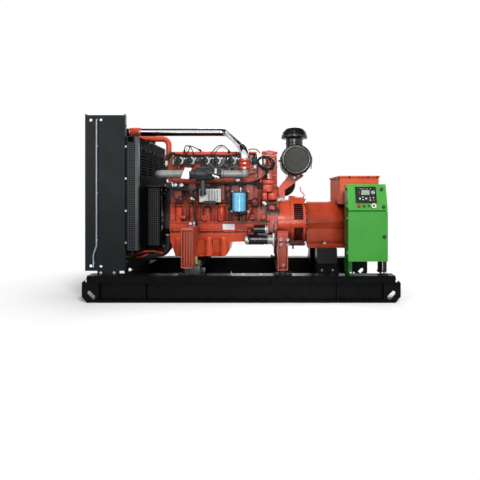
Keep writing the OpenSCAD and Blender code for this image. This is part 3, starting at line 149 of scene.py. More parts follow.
# for each finish: its two tones, the size of their drift in mm, its roughness, the grain of its
# skin in mm, how deep that is, and what else it has
coats = {
    # gloss enamel brushed over sand-cast iron: the cast skin shows through as a soft orange peel
    "engineEnamel": ("#cc4526", "#ad3318", 160, 0.26, 5, 0.35, cast),
    # the block, whose front cover, past X -0.868, is coloured dark as painted shade behind the belt
    # guard
    "blockEnamel": ("#cc4526", "#ad3318", 160, 0.26, 5, 0.35,
        cast | {"zone": ("LESS", -0.868, "#1f1412")}),
    # the alternator, in a darker tone that is painted shade, whose coupling drum inside the adaptor
    # is left black
    "statorShadedEnamel": ("#a83a20", "#923016", 160, 0.2, 5, 0.35,
        cast | {"shine": 0.15, "zone": ("LESS", 0.72, "#0c0908")}),
    # the same enamel, flatter, on the ribbed legs, whose corners take a paler painted shade, and on
    # the terminal box, in a lighter tone that is painted light
    "legEnamel": ("#b85443", "#a34a3b", 160, 0.42, 5, 0.35,
        cast | {"coat": 0.0, "cornerShade": "#7a3226"}),
    "boxLitEnamel": ("#dd6a4e", "#d25c40", 160, 0.5, 9, 0.1, cast | {"coat": 0.0, "shine": 0.02}),
    # the adaptor's louvre bars, recessed, in a dark tone that is painted shade
    "louvreShade": ("#5c2013", "#48170d", 60, 0.5, 4, 0.2, {"shine": 0.2}),
    # the pan is pressed and drawn, so its enamel lies smoother; its lighter tone is painted light
    "panLitEnamel": ("#e05a38", "#cd4a2b", 160, 0.26, 9, 0.12, cast),
    # the same enamel on pressed and machined parts, smoother, with painted shade in its corners
    "smoothEnamel": ("#cf4f33", "#bb4027", 220, 0.26, 9, 0.12,
        {"coat": 0.05, "shine": 0.22, "cornerShade": "#3a120a"}),
    # primer-red undercoat that shows where the enamel is thin, on heads and side castings, with
    # painted shade in its corners
    "thinEnamel": ("#b04733", "#8f3523", 90, 0.48, 4, 0.4, {"cornerShade": "#33130d"}),
    # satin black enamel on rolled steel, with handling dust
    "skidEnamel": ("#070809", "#0d0e0f", 300, 0.3, 8, 0.15, {"shine": 0.08}),
    # black, dead black and grey coats on thin folded sheet
    "sheetCoat": ("#141719", "#1c2023", 260, 0.42, 7, 0.1, {"shine": 0.16}),
    "deepBlackCoat": ("#060707", "#0c0d0d", 260, 0.65, 7, 0.1, {"shine": 0.01}),
    "greyCoat": ("#4a4e52", "#3c4044", 260, 0.4, 7, 0.1, {"shine": 0.4}),
    # green powder coat, even, with a fine texture, on the doors and on the cabinet's body
    "greenPowder": ("#45a03c", "#3e9837", 240, 0.4, 3, 0.12, {"shine": 0.35}),
    "darkGreenPowder": ("#25772a", "#1e6a24", 240, 0.42, 3, 0.12, {"shine": 0.3}),
    # the cabinet's stand: dark green on the engine's side, black at the far end
    "greenLegs": ("#1f6123", "#18501c", 90, 0.45, 4, 0.2,
        {"shine": 0.3, "zone": ("GREATER", 1.45, "#101211")}),
    # sand-cast aluminium, bare, and the controller's die-cast kind, finer and brighter, both with
    # painted shade in their corners
    "castAluminium": ("#969894", "#7c7f7b", 60, 0.5, 2.5, 0.5,
        {"metallic": 0.4, "cornerShade": "#2c2c29"}),
    "dieCastAluminium": ("#c4c7c4", "#aeb2b0", 40, 0.42, 1.5, 0.3,
        {"metallic": 0.5, "cornerShade": "#2b2b29"}),
    # turbine iron browned by heat
    "brownedIron": ("#6b5547", "#4b3a31", 50, 0.68, 3, 0.6, {"metallic": 0.4}),
    # extruded hose rubber with a little bloom, and silicone hose over woven plies
    "hoseRubber": ("#141517", "#1e1f21", 70, 0.55, 1.5, 0.3, {"shine": 0.3}),
    "siliconeHose": ("#c4492c", "#a83a22", 60, 0.45, 2, 0.3),
    # moulded black plastic with a spark-eroded grain, polished, and grey
    "blackPlastic": ("#0e0f10", "#161719", 90, 0.42, 1.2, 0.25, {"shine": 0.3}),
    "glossBlackPlastic": ("#090a0b", "#0f1011", 90, 0.2, 1.2, 0.05),
    "darkGreyPlastic": ("#1b2125", "#23292e", 70, 0.36, 1.5, 0.2),
    # the filter's end sheet, dusty
    "filterPaper": ("#494945", "#41413d", 120, 0.6, 2, 0.1, {"shine": 0.1}),
    # oiled iron, and zinc plate: dulled, old and new
    "darkIron": ("#2a2c2e", "#1d1f20", 40, 0.4, 3, 0.2, {"metallic": 0.6}),
    "zincPlate": ("#8d9296", "#74797e", 25, 0.38, 1.5, 0.15, {"metallic": 0.85}),
    "darkZinc": ("#5a5e61", "#46494c", 25, 0.4, 1.5, 0.15, {"metallic": 0.6}),
    "brightZinc": ("#c9ccce", "#b4b7ba", 25, 0.3, 1.5, 0.1, {"metallic": 0.9}),
    # bright drawn tube, polished, with a painted dark reflection on its underside
    "polishedTube": ("#e6e8ea", "#d8dadd", 120, 0.12, 30, 0.03,
        {"metallic": 1.0, "darkReflection": ("#26301f", -0.2)}),
    # blue stoved enamel on a drawn can
    "blueEnamel": ("#6cc6ec", "#58b4df", 60, 0.2, 6, 0.06, {"coat": 0.8}),
    # clear drain tube, clouded by water
    "paleTube": ("#aab4bf", "#98a3b0", 50, 0.4, 2, 0.1),
    # moulded parts in plain colours, and printed card and plate
    "creamPlastic": ("#dedbd0", "#d2cfc2", 30, 0.35, 2, 0.05),
    "redPlastic": ("#b3221c", "#a21c17", 20, 0.3, 2, 0.05),
    "brownPlastic": ("#6e2a1c", "#5f2418", 20, 0.3, 2, 0.05),
    "whiteTag": ("#fafaf8", "#f0f0ed", 40, 0.5, 2, 0.04),
    # soft sleeves over a tap and over the coils' plugs
    "yellowGreenSleeve": ("#bdb14e", "#8a9a45", 12, 0.45, 2, 0.1),
    "oliveSleeve": ("#57521f", "#3b3a1c", 12, 0.45, 2, 0.1),
}
mats = {name: coating(name, *look) for name, look in coats.items()}


# sheet punched with round holes on a square pitch, whose holes are coloured pale as painted light;
# the holes are drawn wider apart than life, so that they show in the picture
def punchedSheet(name, colour, rims, pitch, hole):
    mat, tree, bsdf, coords = newMaterial(name, {"Roughness": 0.42, "Specular IOR Level": 0.22})
    cell = onVector(tree, "MULTIPLY", coords, [1000 / pitch] * 3)
    fromMid = onVector(tree, "SUBTRACT", onVector(tree, "FRACTION", cell), [0.5] * 3)
    facing = onVector(tree, "ABSOLUTE", addNode(tree, "TexCoord").outputs["Normal"])
    flat = onVector(tree, "SUBTRACT", [1.0] * 3, facing)
    reach = onVector(tree, "LENGTH", onVector(tree, "MULTIPLY", fromMid, flat))
    isHole = reckon(tree, "LESS_THAN", reach, hole / pitch / 2)
    # painted light: the holes take the pale second colour
    tone = mixed(tree, isHole, toLinear(colour), toLinear(rims))
    dent = addNode(tree, "Bump", {"Height": isHole, "Strength": 0.6, "Distance": 0.002},
        invert=True)
    tree.links.new(tone, bsdf.inputs["Base Color"])
    tree.links.new(dent.outputs[0], bsdf.inputs["Normal"])
    return mat


# brazed core: fins between the tubes, drawn at a pitch in mm where real ones are 3 mm apart
def finnedCore(name, dark, pale, pitch):
    mat, tree, bsdf, coords = newMaterial(name, {"Roughness": 0.5, "Specular IOR Level": 0.2})
    fins = addNode(tree, "TexWave", {"Vector": coords, "Scale": 1000 / pitch / 6.283,
        "Distortion": 0.0}, wave_type="BANDS", bands_direction="Y").outputs["Fac"]
    ridge = addNode(tree, "Bump", {"Height": fins, "Strength": 0.7, "Distance": 0.003})
    tree.links.new(mixed(tree, fins, toLinear(dark), toLinear(pale)), bsdf.inputs["Base Color"])
    tree.links.new(ridge.outputs[0], bsdf.inputs["Normal"])
    return mat


# the guard's black sheet, with painted light in its holes
mats["guardSheet"] = punchedSheet("guardSheet", "#0c0d0f", "#464b4f", 24, 11)
mats["coreFins"] = finnedCore("coreFins", "#070809", "#222426", 9)
# glass of the small display, over a pale liquid-crystal layer
mats["displayGlass"] = newMaterial("displayGlass", {"Base Color": toLinear("#8fa396"),
    "Roughness": 0.12, "Coat Weight": 0.6, "Coat Roughness": 0.03})[0]
mats["lampRed"] = newMaterial("lampRed", {"Base Color": toLinear("#d8392b"), "Roughness": 0.2})[0]

nodeFinish = {
    "skidEnamel": "near_rail far_rail cross_beams alternator_stands",
    "sheetCoat": "radiator_sides canister_frame", "coreFins": "charge_cooler radiator_core",
    "deepBlackCoat": "fan_shroud guard_rear_panel", "guardSheet": "guard_panels belt_guard",
    "darkGreyPlastic": "fan throttle_body coil_plate", "zincPlate": "belt_drive",
    "paleTube": "overflow_tube", "siliconeHose": "charge_hoses", "polishedTube": "charge_pipe",
    "castAluminium": "intake_elbow front_air_pipe", "brownedIron": "turbocharger exhaust_manifold",
    "engineEnamel": "intake_manifold gear_housing", "panLitEnamel": "oil_pan",
    "smoothEnamel": "hot_charge_pipe filter_brackets coolant_top_pipe rocker_cover "
        "flywheel_housing adaptor",
    "thinEnamel": "thermostat_housing cylinder_heads side_manifold",
    "hoseRubber": "filter_duct coolant_bottom_hose engine_mounts",
    "blackPlastic": "air_filter ignition_coils hinge_leaves controller",
    "glossBlackPlastic": "rain_cap starter_motor", "blockEnamel": "cylinder_block",
    "dieCastAluminium": "engine_controller", "blueEnamel": "canister", "legEnamel": "engine_legs",
    "statorShadedEnamel": "alternator", "boxLitEnamel": "terminal_box", "greenLegs": "cabinet_stand",
    "darkGreenPowder": "cabinet_body", "greenPowder": "upper_door lower_door",
    "creamPlastic": "panel_buttons",
}
for mat, names in nodeFinish.items():
    for name in names.split():
        nodes[name].data.materials.clear()
        nodes[name].data.materials.append(mats[mat])

print("finishes on the solids")


# Shapes

# a bar between two corners, with its edges eased where edge is over 0
def addBar(bm, low, high, edge=0.0, turn=None):
    low, high = Vector(low), Vector(high)
    middle = Matrix.Translation((low + high) / 2)
    made = bmesh.ops.create_cube(bm, size=1, matrix=middle @ (turn or Matrix()) @
        Matrix.Diagonal([*(high - low), 1]))
    if edge:
        edges = dict.fromkeys(e for v in made["verts"] for e in v.link_edges)
        bmesh.ops.bevel(bm, geom=list(edges), offset=edge, offset_type="OFFSET", affect="EDGES",
            segments=2, profile=0.5, material=-1)


# turns a shape's own Z axis to point along a direction, at a place
def pointing(at, axis):
    return Matrix.Translation(at) @ Vector(axis).to_track_quat("Z", "Y").to_matrix().to_4x4()


# a round bar between two points, tapered where r1 is given
def addRound(bm, start, end, r0, r1=None, sides=24):
    start, end = Vector(start), Vector(end)
    way = end - start
    bmesh.ops.create_cone(bm, cap_ends=True, segments=sides, radius1=r0, radius2=r0 if r1 is None
        else r1, depth=way.length, matrix=pointing((start + end) / 2, way))


# bars and rods in rows of millimetres: two corners and the eased edge, or two ends and one or
# two radii
def addBars(bm, *rows):
    for row in rows:
        x0, y0, z0, x1, y1, z1, edge = [v / 1000 for v in row]
        addBar(bm, (x0, y0, z0), (x1, y1, z1), edge)


def addRods(bm, *rows, sides=24):
    for row in rows:
        x0, y0, z0, x1, y1, z1, *radii = [v / 1000 for v in row]
        addRound(bm, (x0, y0, z0), (x1, y1, z1), *radii, sides=sides)


# a turned piece: (radius, height) points spun round an axis
def addTurned(bm, profile, at, axis, sides=32):
    points = [bm.verts.new((r, 0, h)) for r, h in profile]
    edges = [bm.edges.new(pair) for pair in zip(points, points[1:])]
    made = bmesh.ops.spin(bm, geom=points + edges, cent=(0, 0, 0), axis=(0, 0, 1), steps=sides,
        angle=math.tau, use_merge=True)
    verts = dict.fromkeys(v for v in points if v.is_valid)
    front = list(verts)
    while front:
        v = front.pop()
        for e in v.link_edges:
            other = e.other_vert(v)
            if other not in verts:
                verts[other] = True
                front.append(other)
    verts = list(verts)
    bmesh.ops.remove_doubles(bm, verts=verts, dist=1e-6)
    verts = [v for v in verts if v.is_valid]
    faces = list(dict.fromkeys(f for v in verts for f in v.link_faces))
    bmesh.ops.recalc_face_normals(bm, faces=faces)
    bmesh.ops.transform(bm, matrix=pointing(at, axis), verts=verts)


# the same, from a profile in millimetres
def addSpun(bm, profile, *place):
    addTurned(bm, [(r / 1000, h / 1000) for r, h in profile], *place)


# a hexagon bolt head on its washer, across is the width over the flats
def addBolt(bm, at, axis, across=0.019, washer=True):
    at, axis = Vector(at), Vector(axis).normalized()
    if washer:
        addRound(bm, at, at + axis * across * 0.14, across * 0.8, sides=20)
        at = at + axis * across * 0.14
    addRound(bm, at, at + axis * across * 0.5, across * 0.577, sides=6)
    addRound(bm, at + axis * across * 0.5, at + axis * across * 0.62, across * 0.5, across * 0.4,
        sides=12)


# a ring of round section
def addRing(bm, at, axis, radius, wire, sides=32, steps=10):
    profile = [(radius + wire * math.cos(a), wire * math.sin(a)) for a in [math.tau * i / steps for
        i in range(steps)]]
    addTurned(bm, profile + profile[:1], at, axis, sides)


# a band clamp: the strap, its overlapping end and the screw housing
def addClamp(bm, at, axis, radius, width=0.012, screw=(0, -1, 0)):
    axis, screw = Vector(axis).normalized(), Vector(screw).normalized()
    t = 0.0016
    addTurned(bm, [(radius, -width / 2), (radius + t, -width / 2 + t / 2),
        (radius + t, width / 2 - t / 2), (radius, width / 2), (radius, -width / 2)], at, axis, 40)
    side = axis.cross(screw).normalized()
    out = Vector(at) + screw * (radius + 0.006)
    addRound(bm, out - side * 0.014, out + side * 0.014, 0.0065, sides=12)
    addRound(bm, out + side * 0.014, out + side * 0.02, 0.0055, sides=6)
    addBar(bm, out - Vector([0.007] * 3), out + Vector([0.007] * 3), 0.0015)


# the object for a finished bmesh: it rides on its body and takes a finish
def finish(bm, name, mat, body=genset, sharp=35, stands=()):
    mesh = bpy.data.meshes.new(name)
    bm.to_mesh(mesh)
    bm.free()
    mesh.materials.append(mats[mat])
    mesh.shade_smooth()
    mesh.set_sharp_from_angle(angle=math.radians(sharp))
    piece = bpy.data.objects.new(name, mesh)
    bpy.context.collection.objects.link(piece)
    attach(piece, body)
    if stands:
        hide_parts(*stands)


# a cable, tube or rod along points, rounded at its bends
def addLead(name, points, thickness, mat):
    path = bpy.data.curves.new(name, "CURVE")
    path.dimensions = "3D"
    path.bevel_depth = thickness / 2
    path.bevel_resolution = 3
    path.resolution_u = 6
    path.use_fill_caps = True
    spline = path.splines.new("NURBS")
    spline.points.add(len(points) - 1)
    for p, at in zip(spline.points, points):
        p.co = (*at, 1)
    spline.order_u = 3
    spline.use_endpoint_u = True
    piece = bpy.data.objects.new(name, path)
    bpy.context.collection.objects.link(piece)
    path.materials.append(mats[mat])
    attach(piece, genset)


# CAD boxes the details are placed by
def low(name):
    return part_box(name)[0]


def high(name):
    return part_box(name)[1]


# Radiator, its guards and its pipes

radiator = {"boltAcross": 0.019, "flangeAcross": 0.013, "flangeBolts":
    [0.638, 0.988, 1.341, 1.691], "endBolts": 11, "sleeve": (-1.50, -1.27), "clampWidth": 0.014,
    "pipeZ": 1.985, "tankZ": 1.846}


def dressRadiator():
    bolts = bmesh.new()
    left, right = low("radiator_sides").x, high("radiator_sides").x
    for side in (-1, 1):
        for z in radiator["flangeBolts"]:
            addBolt(bolts, (right + 0.007, side * 0.562, z), (0, side, 0), radiator["flangeAcross"])
        for x in (left + 0.175, right - 0.115):
            addBolt(bolts, (x, side * 0.571, 0.312), (0, side, 0), radiator["boltAcross"])
    finish(bolts, "radiator_bolts", "brightZinc")
    bolts = bmesh.new()
    for side in (-1, 1):
        for i in range(radiator["endBolts"]):
            z = 0.42 + i * 0.15
            for x, way in ((left, -1), (right, 1)):
                addBolt(bolts, (x, side * 0.543, z), (way, 0, 0), 0.013)
    for i in range(7):
        y = -0.48 + i * 0.16
        for z in (1.79, 1.68):
            addBolt(bolts, (high("guard_rear_panel").x, y, z), (1, 0, 0), 0.013)
    finish(bolts, "sheet_bolts", "darkIron")

    trim = bmesh.new()
    guardNear = high("guard_panels").x
    for side in (-1, 1):
        y = side * 0.5601
        addBar(trim, (right + 0.0005, y - 0.0016, 0.556), (right + 0.015, y + 0.0016, 1.801),
            0.0008)
        addBar(trim, (right + 0.026, y - 0.0016, 1.74), (guardNear - 0.05, y + 0.0016, 1.801),
            0.0008)
    finish(trim, "guard_trim", "deepBlackCoat")
    posts = bmesh.new()
    for side in (-1, 1):
        addBar(posts, (guardNear - 0.034, side * 0.5601 - 0.0016, 0.556),
            (guardNear - 0.001, side * 0.5601 + 0.0016, 1.801), 0.0008)
    addBar(posts, (low("belt_guard").x, -0.3016, high("belt_guard").z - 0.012),
        (high("belt_guard").x, -0.2985, high("belt_guard").z + 0.001), 0.0007)
    finish(posts, "guard_posts", "greyCoat")

    # solid frames round the punched sheets of the belt guard
    rim = bmesh.new()
    x0, x1 = low("belt_guard").x, high("belt_guard").x
    z0, z1 = low("belt_guard").z, high("belt_guard").z
    for side in (-1, 1):
        y = side * 0.3001
        for a, b in (((x0, z0), (x0 + 0.03, z1)), ((x1 - 0.022, z0), (x1, z1)), ((x0, z0),
                (x1, z0 + 0.025)), ((x0, z1 - 0.03), (x1, z1))):
            addBar(rim, (a[0], y - 0.0015, a[1]), (b[0], y + 0.0015, b[1]), 0.0007)
    finish(rim, "belt_guard_rim", "deepBlackCoat")

    clamps = bmesh.new()
    hoseStart = low("charge_hoses").x
    for x in (hoseStart + 0.012, hoseStart + 0.138):
        addClamp(clamps, (x, 0.215, radiator["pipeZ"]), (1, 0, 0), 0.0565, radiator["clampWidth"])
        addRound(clamps, (x - 0.006, 0.205, 2.03), (x - 0.006, 0.205, 2.055), 0.0045, sides=10)
        addRound(clamps, (x - 0.006, 0.205, 2.037), (x - 0.006, 0.205, 2.044), 0.008, sides=6)
    for z in (1.462, 1.516, 1.563):
        addClamp(clamps, (0.027, -0.43, z), (0, 0, 1), 0.056, radiator["clampWidth"])
    for x in (-1.47, -1.30):
        addClamp(clamps, (x, -0.1, radiator["tankZ"]), (1, 0, 0), 0.0345, 0.012)
    for at, axis in (((-1.49, -0.15, 0.44), (1, 0, 0)), ((-0.908, -0.15, 0.682), (0, 0, 1))):
        addClamp(clamps, at, axis, 0.0405, 0.014)
    finish(clamps, "hose_clamps", "brightZinc")

    # the short rubber sleeve that joins the steel coolant pipe to the tank
    sleeves = bmesh.new()
    a, b = radiator["sleeve"]
    addTurned(sleeves, [(0.034, a), (0.0385, a + 0.002), (0.0385, b - 0.002), (0.034, b),
        (0.034, a)], (0, -0.1, radiator["tankZ"]), (1, 0, 0), 32)
    finish(sleeves, "coolant_sleeves", "hoseRubber")

    cap = bmesh.new()
    addSpun(cap, [(0, 12), (30, 12), (34, 8), (34, 0), (22, 0), (22, -30), (0, -30)],
        (-1.62, 0.30, 2.0235), (0, 0, 1), 28)
    finish(cap, "filler_cap", "brightZinc")
    print("radiator dressed")


dressRadiator()


# Engine: covers, ignition, castings

ignition = {"cylX": [-0.761 + 0.168 * i for i in range(6)], "coilZ": 1.569, "plateY": -0.186,
    "coilX": [-0.756, -0.624, -0.443, -0.311, -0.13, 0.002], "coilRadius": 0.034}


def dressIgnition():
    coils, crescents, boots = bmesh.new(), bmesh.new(), bmesh.new()
    for x in ignition["coilX"]:
        at = Vector((x, ignition["plateY"], ignition["coilZ"]))
        r = ignition["coilRadius"]
        addTurned(coils, [(0, 0.0), (r + 0.006, 0.0), (r + 0.006, 0.006), (r, 0.008), (r, 0.03),
            (r - 0.004, 0.034), (0.024, 0.035), (0.022, 0.054), (0.019, 0.058), (0, 0.058)], at,
            (0, -1, 0), 36)
        for side in (-1, 1):
            ear = at + Vector((side * (r + 0.012), -0.004, -side * 0.01))
            addRound(coils, ear + Vector((0, 0.004, 0)), ear - Vector((0, 0.008, 0)), 0.011,
                sides=16)
        addBar(coils, at + Vector((-0.014, -0.05, -0.052)), at + Vector((0.014, -0.016, -0.02)),
            0.003)
        # a pale crescent of cream rods on one side of each coil
        for i in range(8):
            a = math.radians(-70 + i * 20)
            mid = at + Vector((0.038 * math.cos(a), -0.03, 0.038 * math.sin(a)))
            addRound(crescents, mid + Vector((0, 0.026, 0)), mid - Vector((0, 0.008, 0)), 0.0075,
                sides=12)
        for i in range(9):
            a = math.radians(100 + i * 20)
            mid = at + Vector((0.046 * math.cos(a), -0.006, 0.046 * math.sin(a)))
            addRound(coils, mid + Vector((0, 0.006, 0)), mid - Vector((0, 0.02, 0)), 0.009,
                sides=12)
        addRound(boots, at + Vector((-0.004, -0.03, -0.045)), at + Vector((-0.01, -0.03, -0.09)),
            0.012, 0.009, sides=16)
    finish(coils, "coils", "blackPlastic", stands=("ignition_coils",))
    finish(crescents, "coil_crescents", "creamPlastic")
    finish(boots, "coil_plugs", "oliveSleeve")

    bolts = bmesh.new()
    for x in ignition["coilX"]:
        for side in (-1, 1):
            addBolt(bolts, (x + side * 0.05, -0.186, 1.60), (0, -1, 0), 0.012)
    finish(bolts, "coil_bolts", "brightZinc")
    bolts = bmesh.new()
    for i in range(13):
        x = -0.825 + i * 0.0815
        for side in (-1, 1):
            addBolt(bolts, (x, side * 0.161, 1.4535), (0, 0, 1), 0.014)
    finish(bolts, "cover_bolts", "smoothEnamel")

    # raised bosses and filler on the rocker cover
    lid = bmesh.new()
    for i in range(6):
        x = ignition["cylX"][i]
        addSpun(lid, [(0, 18), (12, 18), (14, 12), (30, 12), (31, 10.5)], (x, 0.0,
            high("rocker_cover").z - 0.0105), (0, 0, 1), 28)
    for z in (1.47, 1.49):
        addBar(lid, (-0.835, -0.1535, z), (0.16, -0.149, z + 0.006), 0.001)
    for side in (-1, 1):
        for i in range(5):
            x = -0.70 + i * 0.168
            addBar(lid, (x, side * 0.1 - 0.012, 1.6865), (x + 0.05, side * 0.1 + 0.012, 1.694),
                0.003)
    finish(lid, "rocker_cover_bosses", "smoothEnamel")
    print("ignition dressed")


dressIgnition()

casting = {"boltAcross": 0.017}


def dressCastings():
    # ribs, pads and bosses cast on the near and far sides of the block
    ribs = bmesh.new()
    for side in (-1, 1):
        for x in ignition["cylX"]:
            addBar(ribs, (x + 0.079, side * 0.232 - 0.012, 0.862),
                (x + 0.089, side * 0.232 + 0.012, 1.03), 0.003)
        addBar(ribs, (-0.865, side * 0.226 - 0.01, 1.03), (0.285, side * 0.226 + 0.01, 1.046),
            0.003)
        addBar(ribs, (-0.865, side * 0.256 - 0.012, 0.735), (0.285, side * 0.256 + 0.012, 0.752),
            0.003)
        addBar(ribs, (-0.865, side * 0.25 - 0.008, 0.83), (0.285, side * 0.25 + 0.008, 0.85), 0.003)
    for x, z in ((-0.448, 0.891), (-0.255, 0.886), (-0.073, 0.915), (0.109, 0.903), (0.245, 0.903)):
        addSpun(ribs, [(0, 12), (13, 12), (15, 20), (28, 20), (32, 12), (34, -20)], (x, -0.272, z),
            (0, -1, 0), 28)
    addBars(ribs, (-741, -284, 880, -671, -240, 921, 4))
    for z in (1.155, 1.243):
        addSpun(ribs, [(0, 10), (11, 10), (13, 16), (24, 16), (27, 0), (27, -50)],
            (-0.179, -0.262, z), (0, -1, 0), 24)
    finish(ribs, "block_castings", "engineEnamel")

    bolts = bmesh.new()
    for side in (-1, 1):
        for i in range(14):
            x = -0.84 + i * 0.085
            addBolt(bolts, (x, side * 0.268, 0.7435), (0, side, 0), 0.014)
        for z in (0.78, 0.86, 0.94, 1.02):
            addBolt(bolts, (0.411, side * 0.235, z), (1, 0, 0), 0.019)
            addBolt(bolts, (0.305, side * 0.262, z), (0, side, 0), 0.017)
        for z in (1.07, 1.15, 1.22):
            addBolt(bolts, (-0.945, side * 0.11, z), (-1, 0, 0), casting["boltAcross"])
    for i in range(20):
        a = math.tau * (i + 0.5) / 20
        y, z = 0.318 * math.cos(a), 0.84 + 0.318 * math.sin(a)
        if z < 1.135:
            addBolt(bolts, (0.744, y * 0.94, 0.84 + 0.30 * math.sin(a)), (1, 0, 0), 0.019)
    for x in ignition["cylX"]:
        for dx in (-0.05, 0.05):
            addBolt(bolts, (x + dx, -0.1905, 1.405), (0, -1, 0), 0.017)
            addBolt(bolts, (x + dx * 0.5, -0.262, 1.30), (0, -1, 0), 0.014)
    finish(bolts, "casting_bolts", "engineEnamel")

    tower = bmesh.new()
    addBars(tower, (212, -139, 1235, 424, -128.5, 1262, 3),
        (222, -137, 1655, 414, -128.5, 1690, 3), (232, -136.5, 1300, 250, -128.5, 1650, 3),
        (386, -136.5, 1300, 404, -128.5, 1650, 3), (260, -134, 1330, 376, -128.5, 1480, 6),
        (260, -134, 1510, 376, -128.5, 1630, 6))
    for x, z, r in ((0.262, 1.395, 0.02), (0.372, 1.4, 0.016), (0.275, 1.6, 0.018),
            (0.36, 1.585, 0.024), (0.318, 1.445, 0.014)):
        addTurned(tower, [(0, 0.012), (r * 0.5, 0.012), (r * 0.6, 0.018), (r, 0.018),
            (r * 1.15, 0.0)], (x, -0.133, z), (0, -1, 0), 28)
    for z in (1.272, 1.345, 1.49, 1.64):
        for x in (0.241, 0.395):
            addBolt(tower, (x, -0.1365, z), (0, -1, 0), 0.016)
    finish(tower, "tower_castings", "engineEnamel")
    seams = bmesh.new()
    addBars(seams, (214, -129.5, 1264, 422, -128, 1270, 0.5),
        (214, -129.5, 1496, 422, -128, 1504, 0.5), (252, -129.5, 1310, 256, -128, 1640, 0.5))
    finish(seams, "tower_seams", "blackPlastic")
    print("castings dressed")


dressCastings()


# Cables and small fittings on the near side

wiring = {"lead": 0.0115}
# cables and hoses: thickness and the points they run through, in millimetres
runs = {
    "coil_harness": (19, (-900, -150, 1660), (-811, -168, 1655), (-682, -168, 1637),
        (-513, -168, 1636), (-414, -168, 1640), (-265, -168, 1635), (-116, -168, 1638),
        (-36, -168, 1655), (60, -168, 1660), (150, -168, 1655)),
    "loop_one": (11.5, (-710, -168, 1635), (-668, -168, 1682), (-640, -165, 1735),
        (-672, -160, 1765), (-712, -155, 1742), (-712, -150, 1700)),
    "loop_two": (11.5, (-690, -155, 1757), (-640, -165, 1757), (-592, -160, 1737),
        (-530, -150, 1706)),
    "loop_three": (11.5, (-642, -165, 1752), (-612, -155, 1700), (-592, -168, 1640)),
    "loop_four": (11.5, (-402, -168, 1640), (-362, -168, 1695), (-312, -160, 1752),
        (-258, -160, 1766), (-210, -155, 1740), (-176, -150, 1700)),
    "loop_five": (8, (-362, -168, 1640), (-322, -150, 1700), (-290, -150, 1748),
        (-250, -150, 1755)),
    "arc_right": (11.5, (50, -140, 1700), (90, -145, 1722), (140, -145, 1718), (185, -140, 1700),
        (200, -140, 1665)),
    "over_throttle": (11.5, (-500, -200, 1630), (-492, -300, 1560), (-470, -420, 1490),
        (-440, -500, 1440), (-390, -522, 1395), (-335, -510, 1390)),
    "to_sensor": (11.5, (-200, -168, 1635), (-196, -220, 1600), (-202, -270, 1540),
        (-235, -340, 1490), (-272, -450, 1465), (-287, -500, 1462)),
    "beside_fifth": (11.5, (-128, -168, 1640), (-160, -210, 1610), (-178, -225, 1560),
        (-165, -225, 1505), (-120, -210, 1460)),
    "left_bundle": (40, (-830, -168, 1665), (-875, -170, 1655), (-912, -205, 1600),
        (-920, -215, 1530), (-918, -220, 1475)),
    "left_bundle_low": (30, (-918, -220, 1475), (-925, -250, 1400), (-910, -290, 1330),
        (-880, -280, 1250), (-800, -290, 1226), (-680, -292, 1232), (-600, -292, 1200),
        (-556, -292, 1120), (-560, -295, 1000), (-559, -295, 880), (-550, -275, 790)),
    "low_harness": (21, (-600, -292, 1200), (-500, -310, 1250), (-412, -310, 1250),
        (-344, -310, 1262), (-246, -300, 1296), (-110, -300, 1285), (85, -300, 1298),
        (202, -290, 1346)),
    "tower_bundle": (27, (85, -300, 1298), (160, -290, 1318), (235, -250, 1360), (285, -180, 1410),
        (296, -160, 1460), (240, -155, 1500)),
    "tower_lead": (11.5, (160, -168, 1650), (168, -160, 1560), (178, -170, 1450),
        (170, -200, 1360), (155, -270, 1310)),
    "pan_lead": (11.5, (190, -300, 1330), (196, -300, 1220), (180, -310, 1130), (168, -330, 1100)),
    "front_hose": (20, (-837, -275, 1266), (-820, -310, 1200), (-790, -320, 1126),
        (-740, -320, 1085), (-697, -318, 1095), (-670, -310, 1150), (-662, -270, 1208)),
    "front_hose_low": (14, (-790, -290, 1020), (-775, -315, 1090), (-720, -325, 1160),
        (-660, -320, 1130), (-625, -310, 1050), (-618, -300, 970), (-640, -270, 885)),
    "right_hose": (14, (238, -290, 1310), (230, -318, 1240), (210, -322, 1160), (222, -318, 1080),
        (214, -290, 1000)),
    "under_can": (12, (-190, -270, 1200), (-195, -310, 1120), (-170, -320, 1000),
        (-130, -310, 930), (-50, -300, 910), (30, -270, 930)),
    "top_rail_lead": (12, (-600, -168, 1450), (-500, -225, 1410), (-300, -235, 1405),
        (-100, -235, 1410), (100, -225, 1400), (180, -170, 1440)),
    "coil_tail": (13, (118, -335, 1020), (100, -330, 950), (75, -310, 890), (30, -290, 855)),
}


# an end plug on a lead: its body, a waist and a collar
def addPlug(bm, start, end, r):
    start, end = Vector(start), Vector(end)
    way = end - start
    addRound(bm, start, start + way * 0.62, r, sides=14)
    addRound(bm, start + way * 0.6, start + way * 0.72, r * 1.25, sides=14)
    addRound(bm, start + way * 0.7, end, r * 0.7, r * 0.55, sides=14)


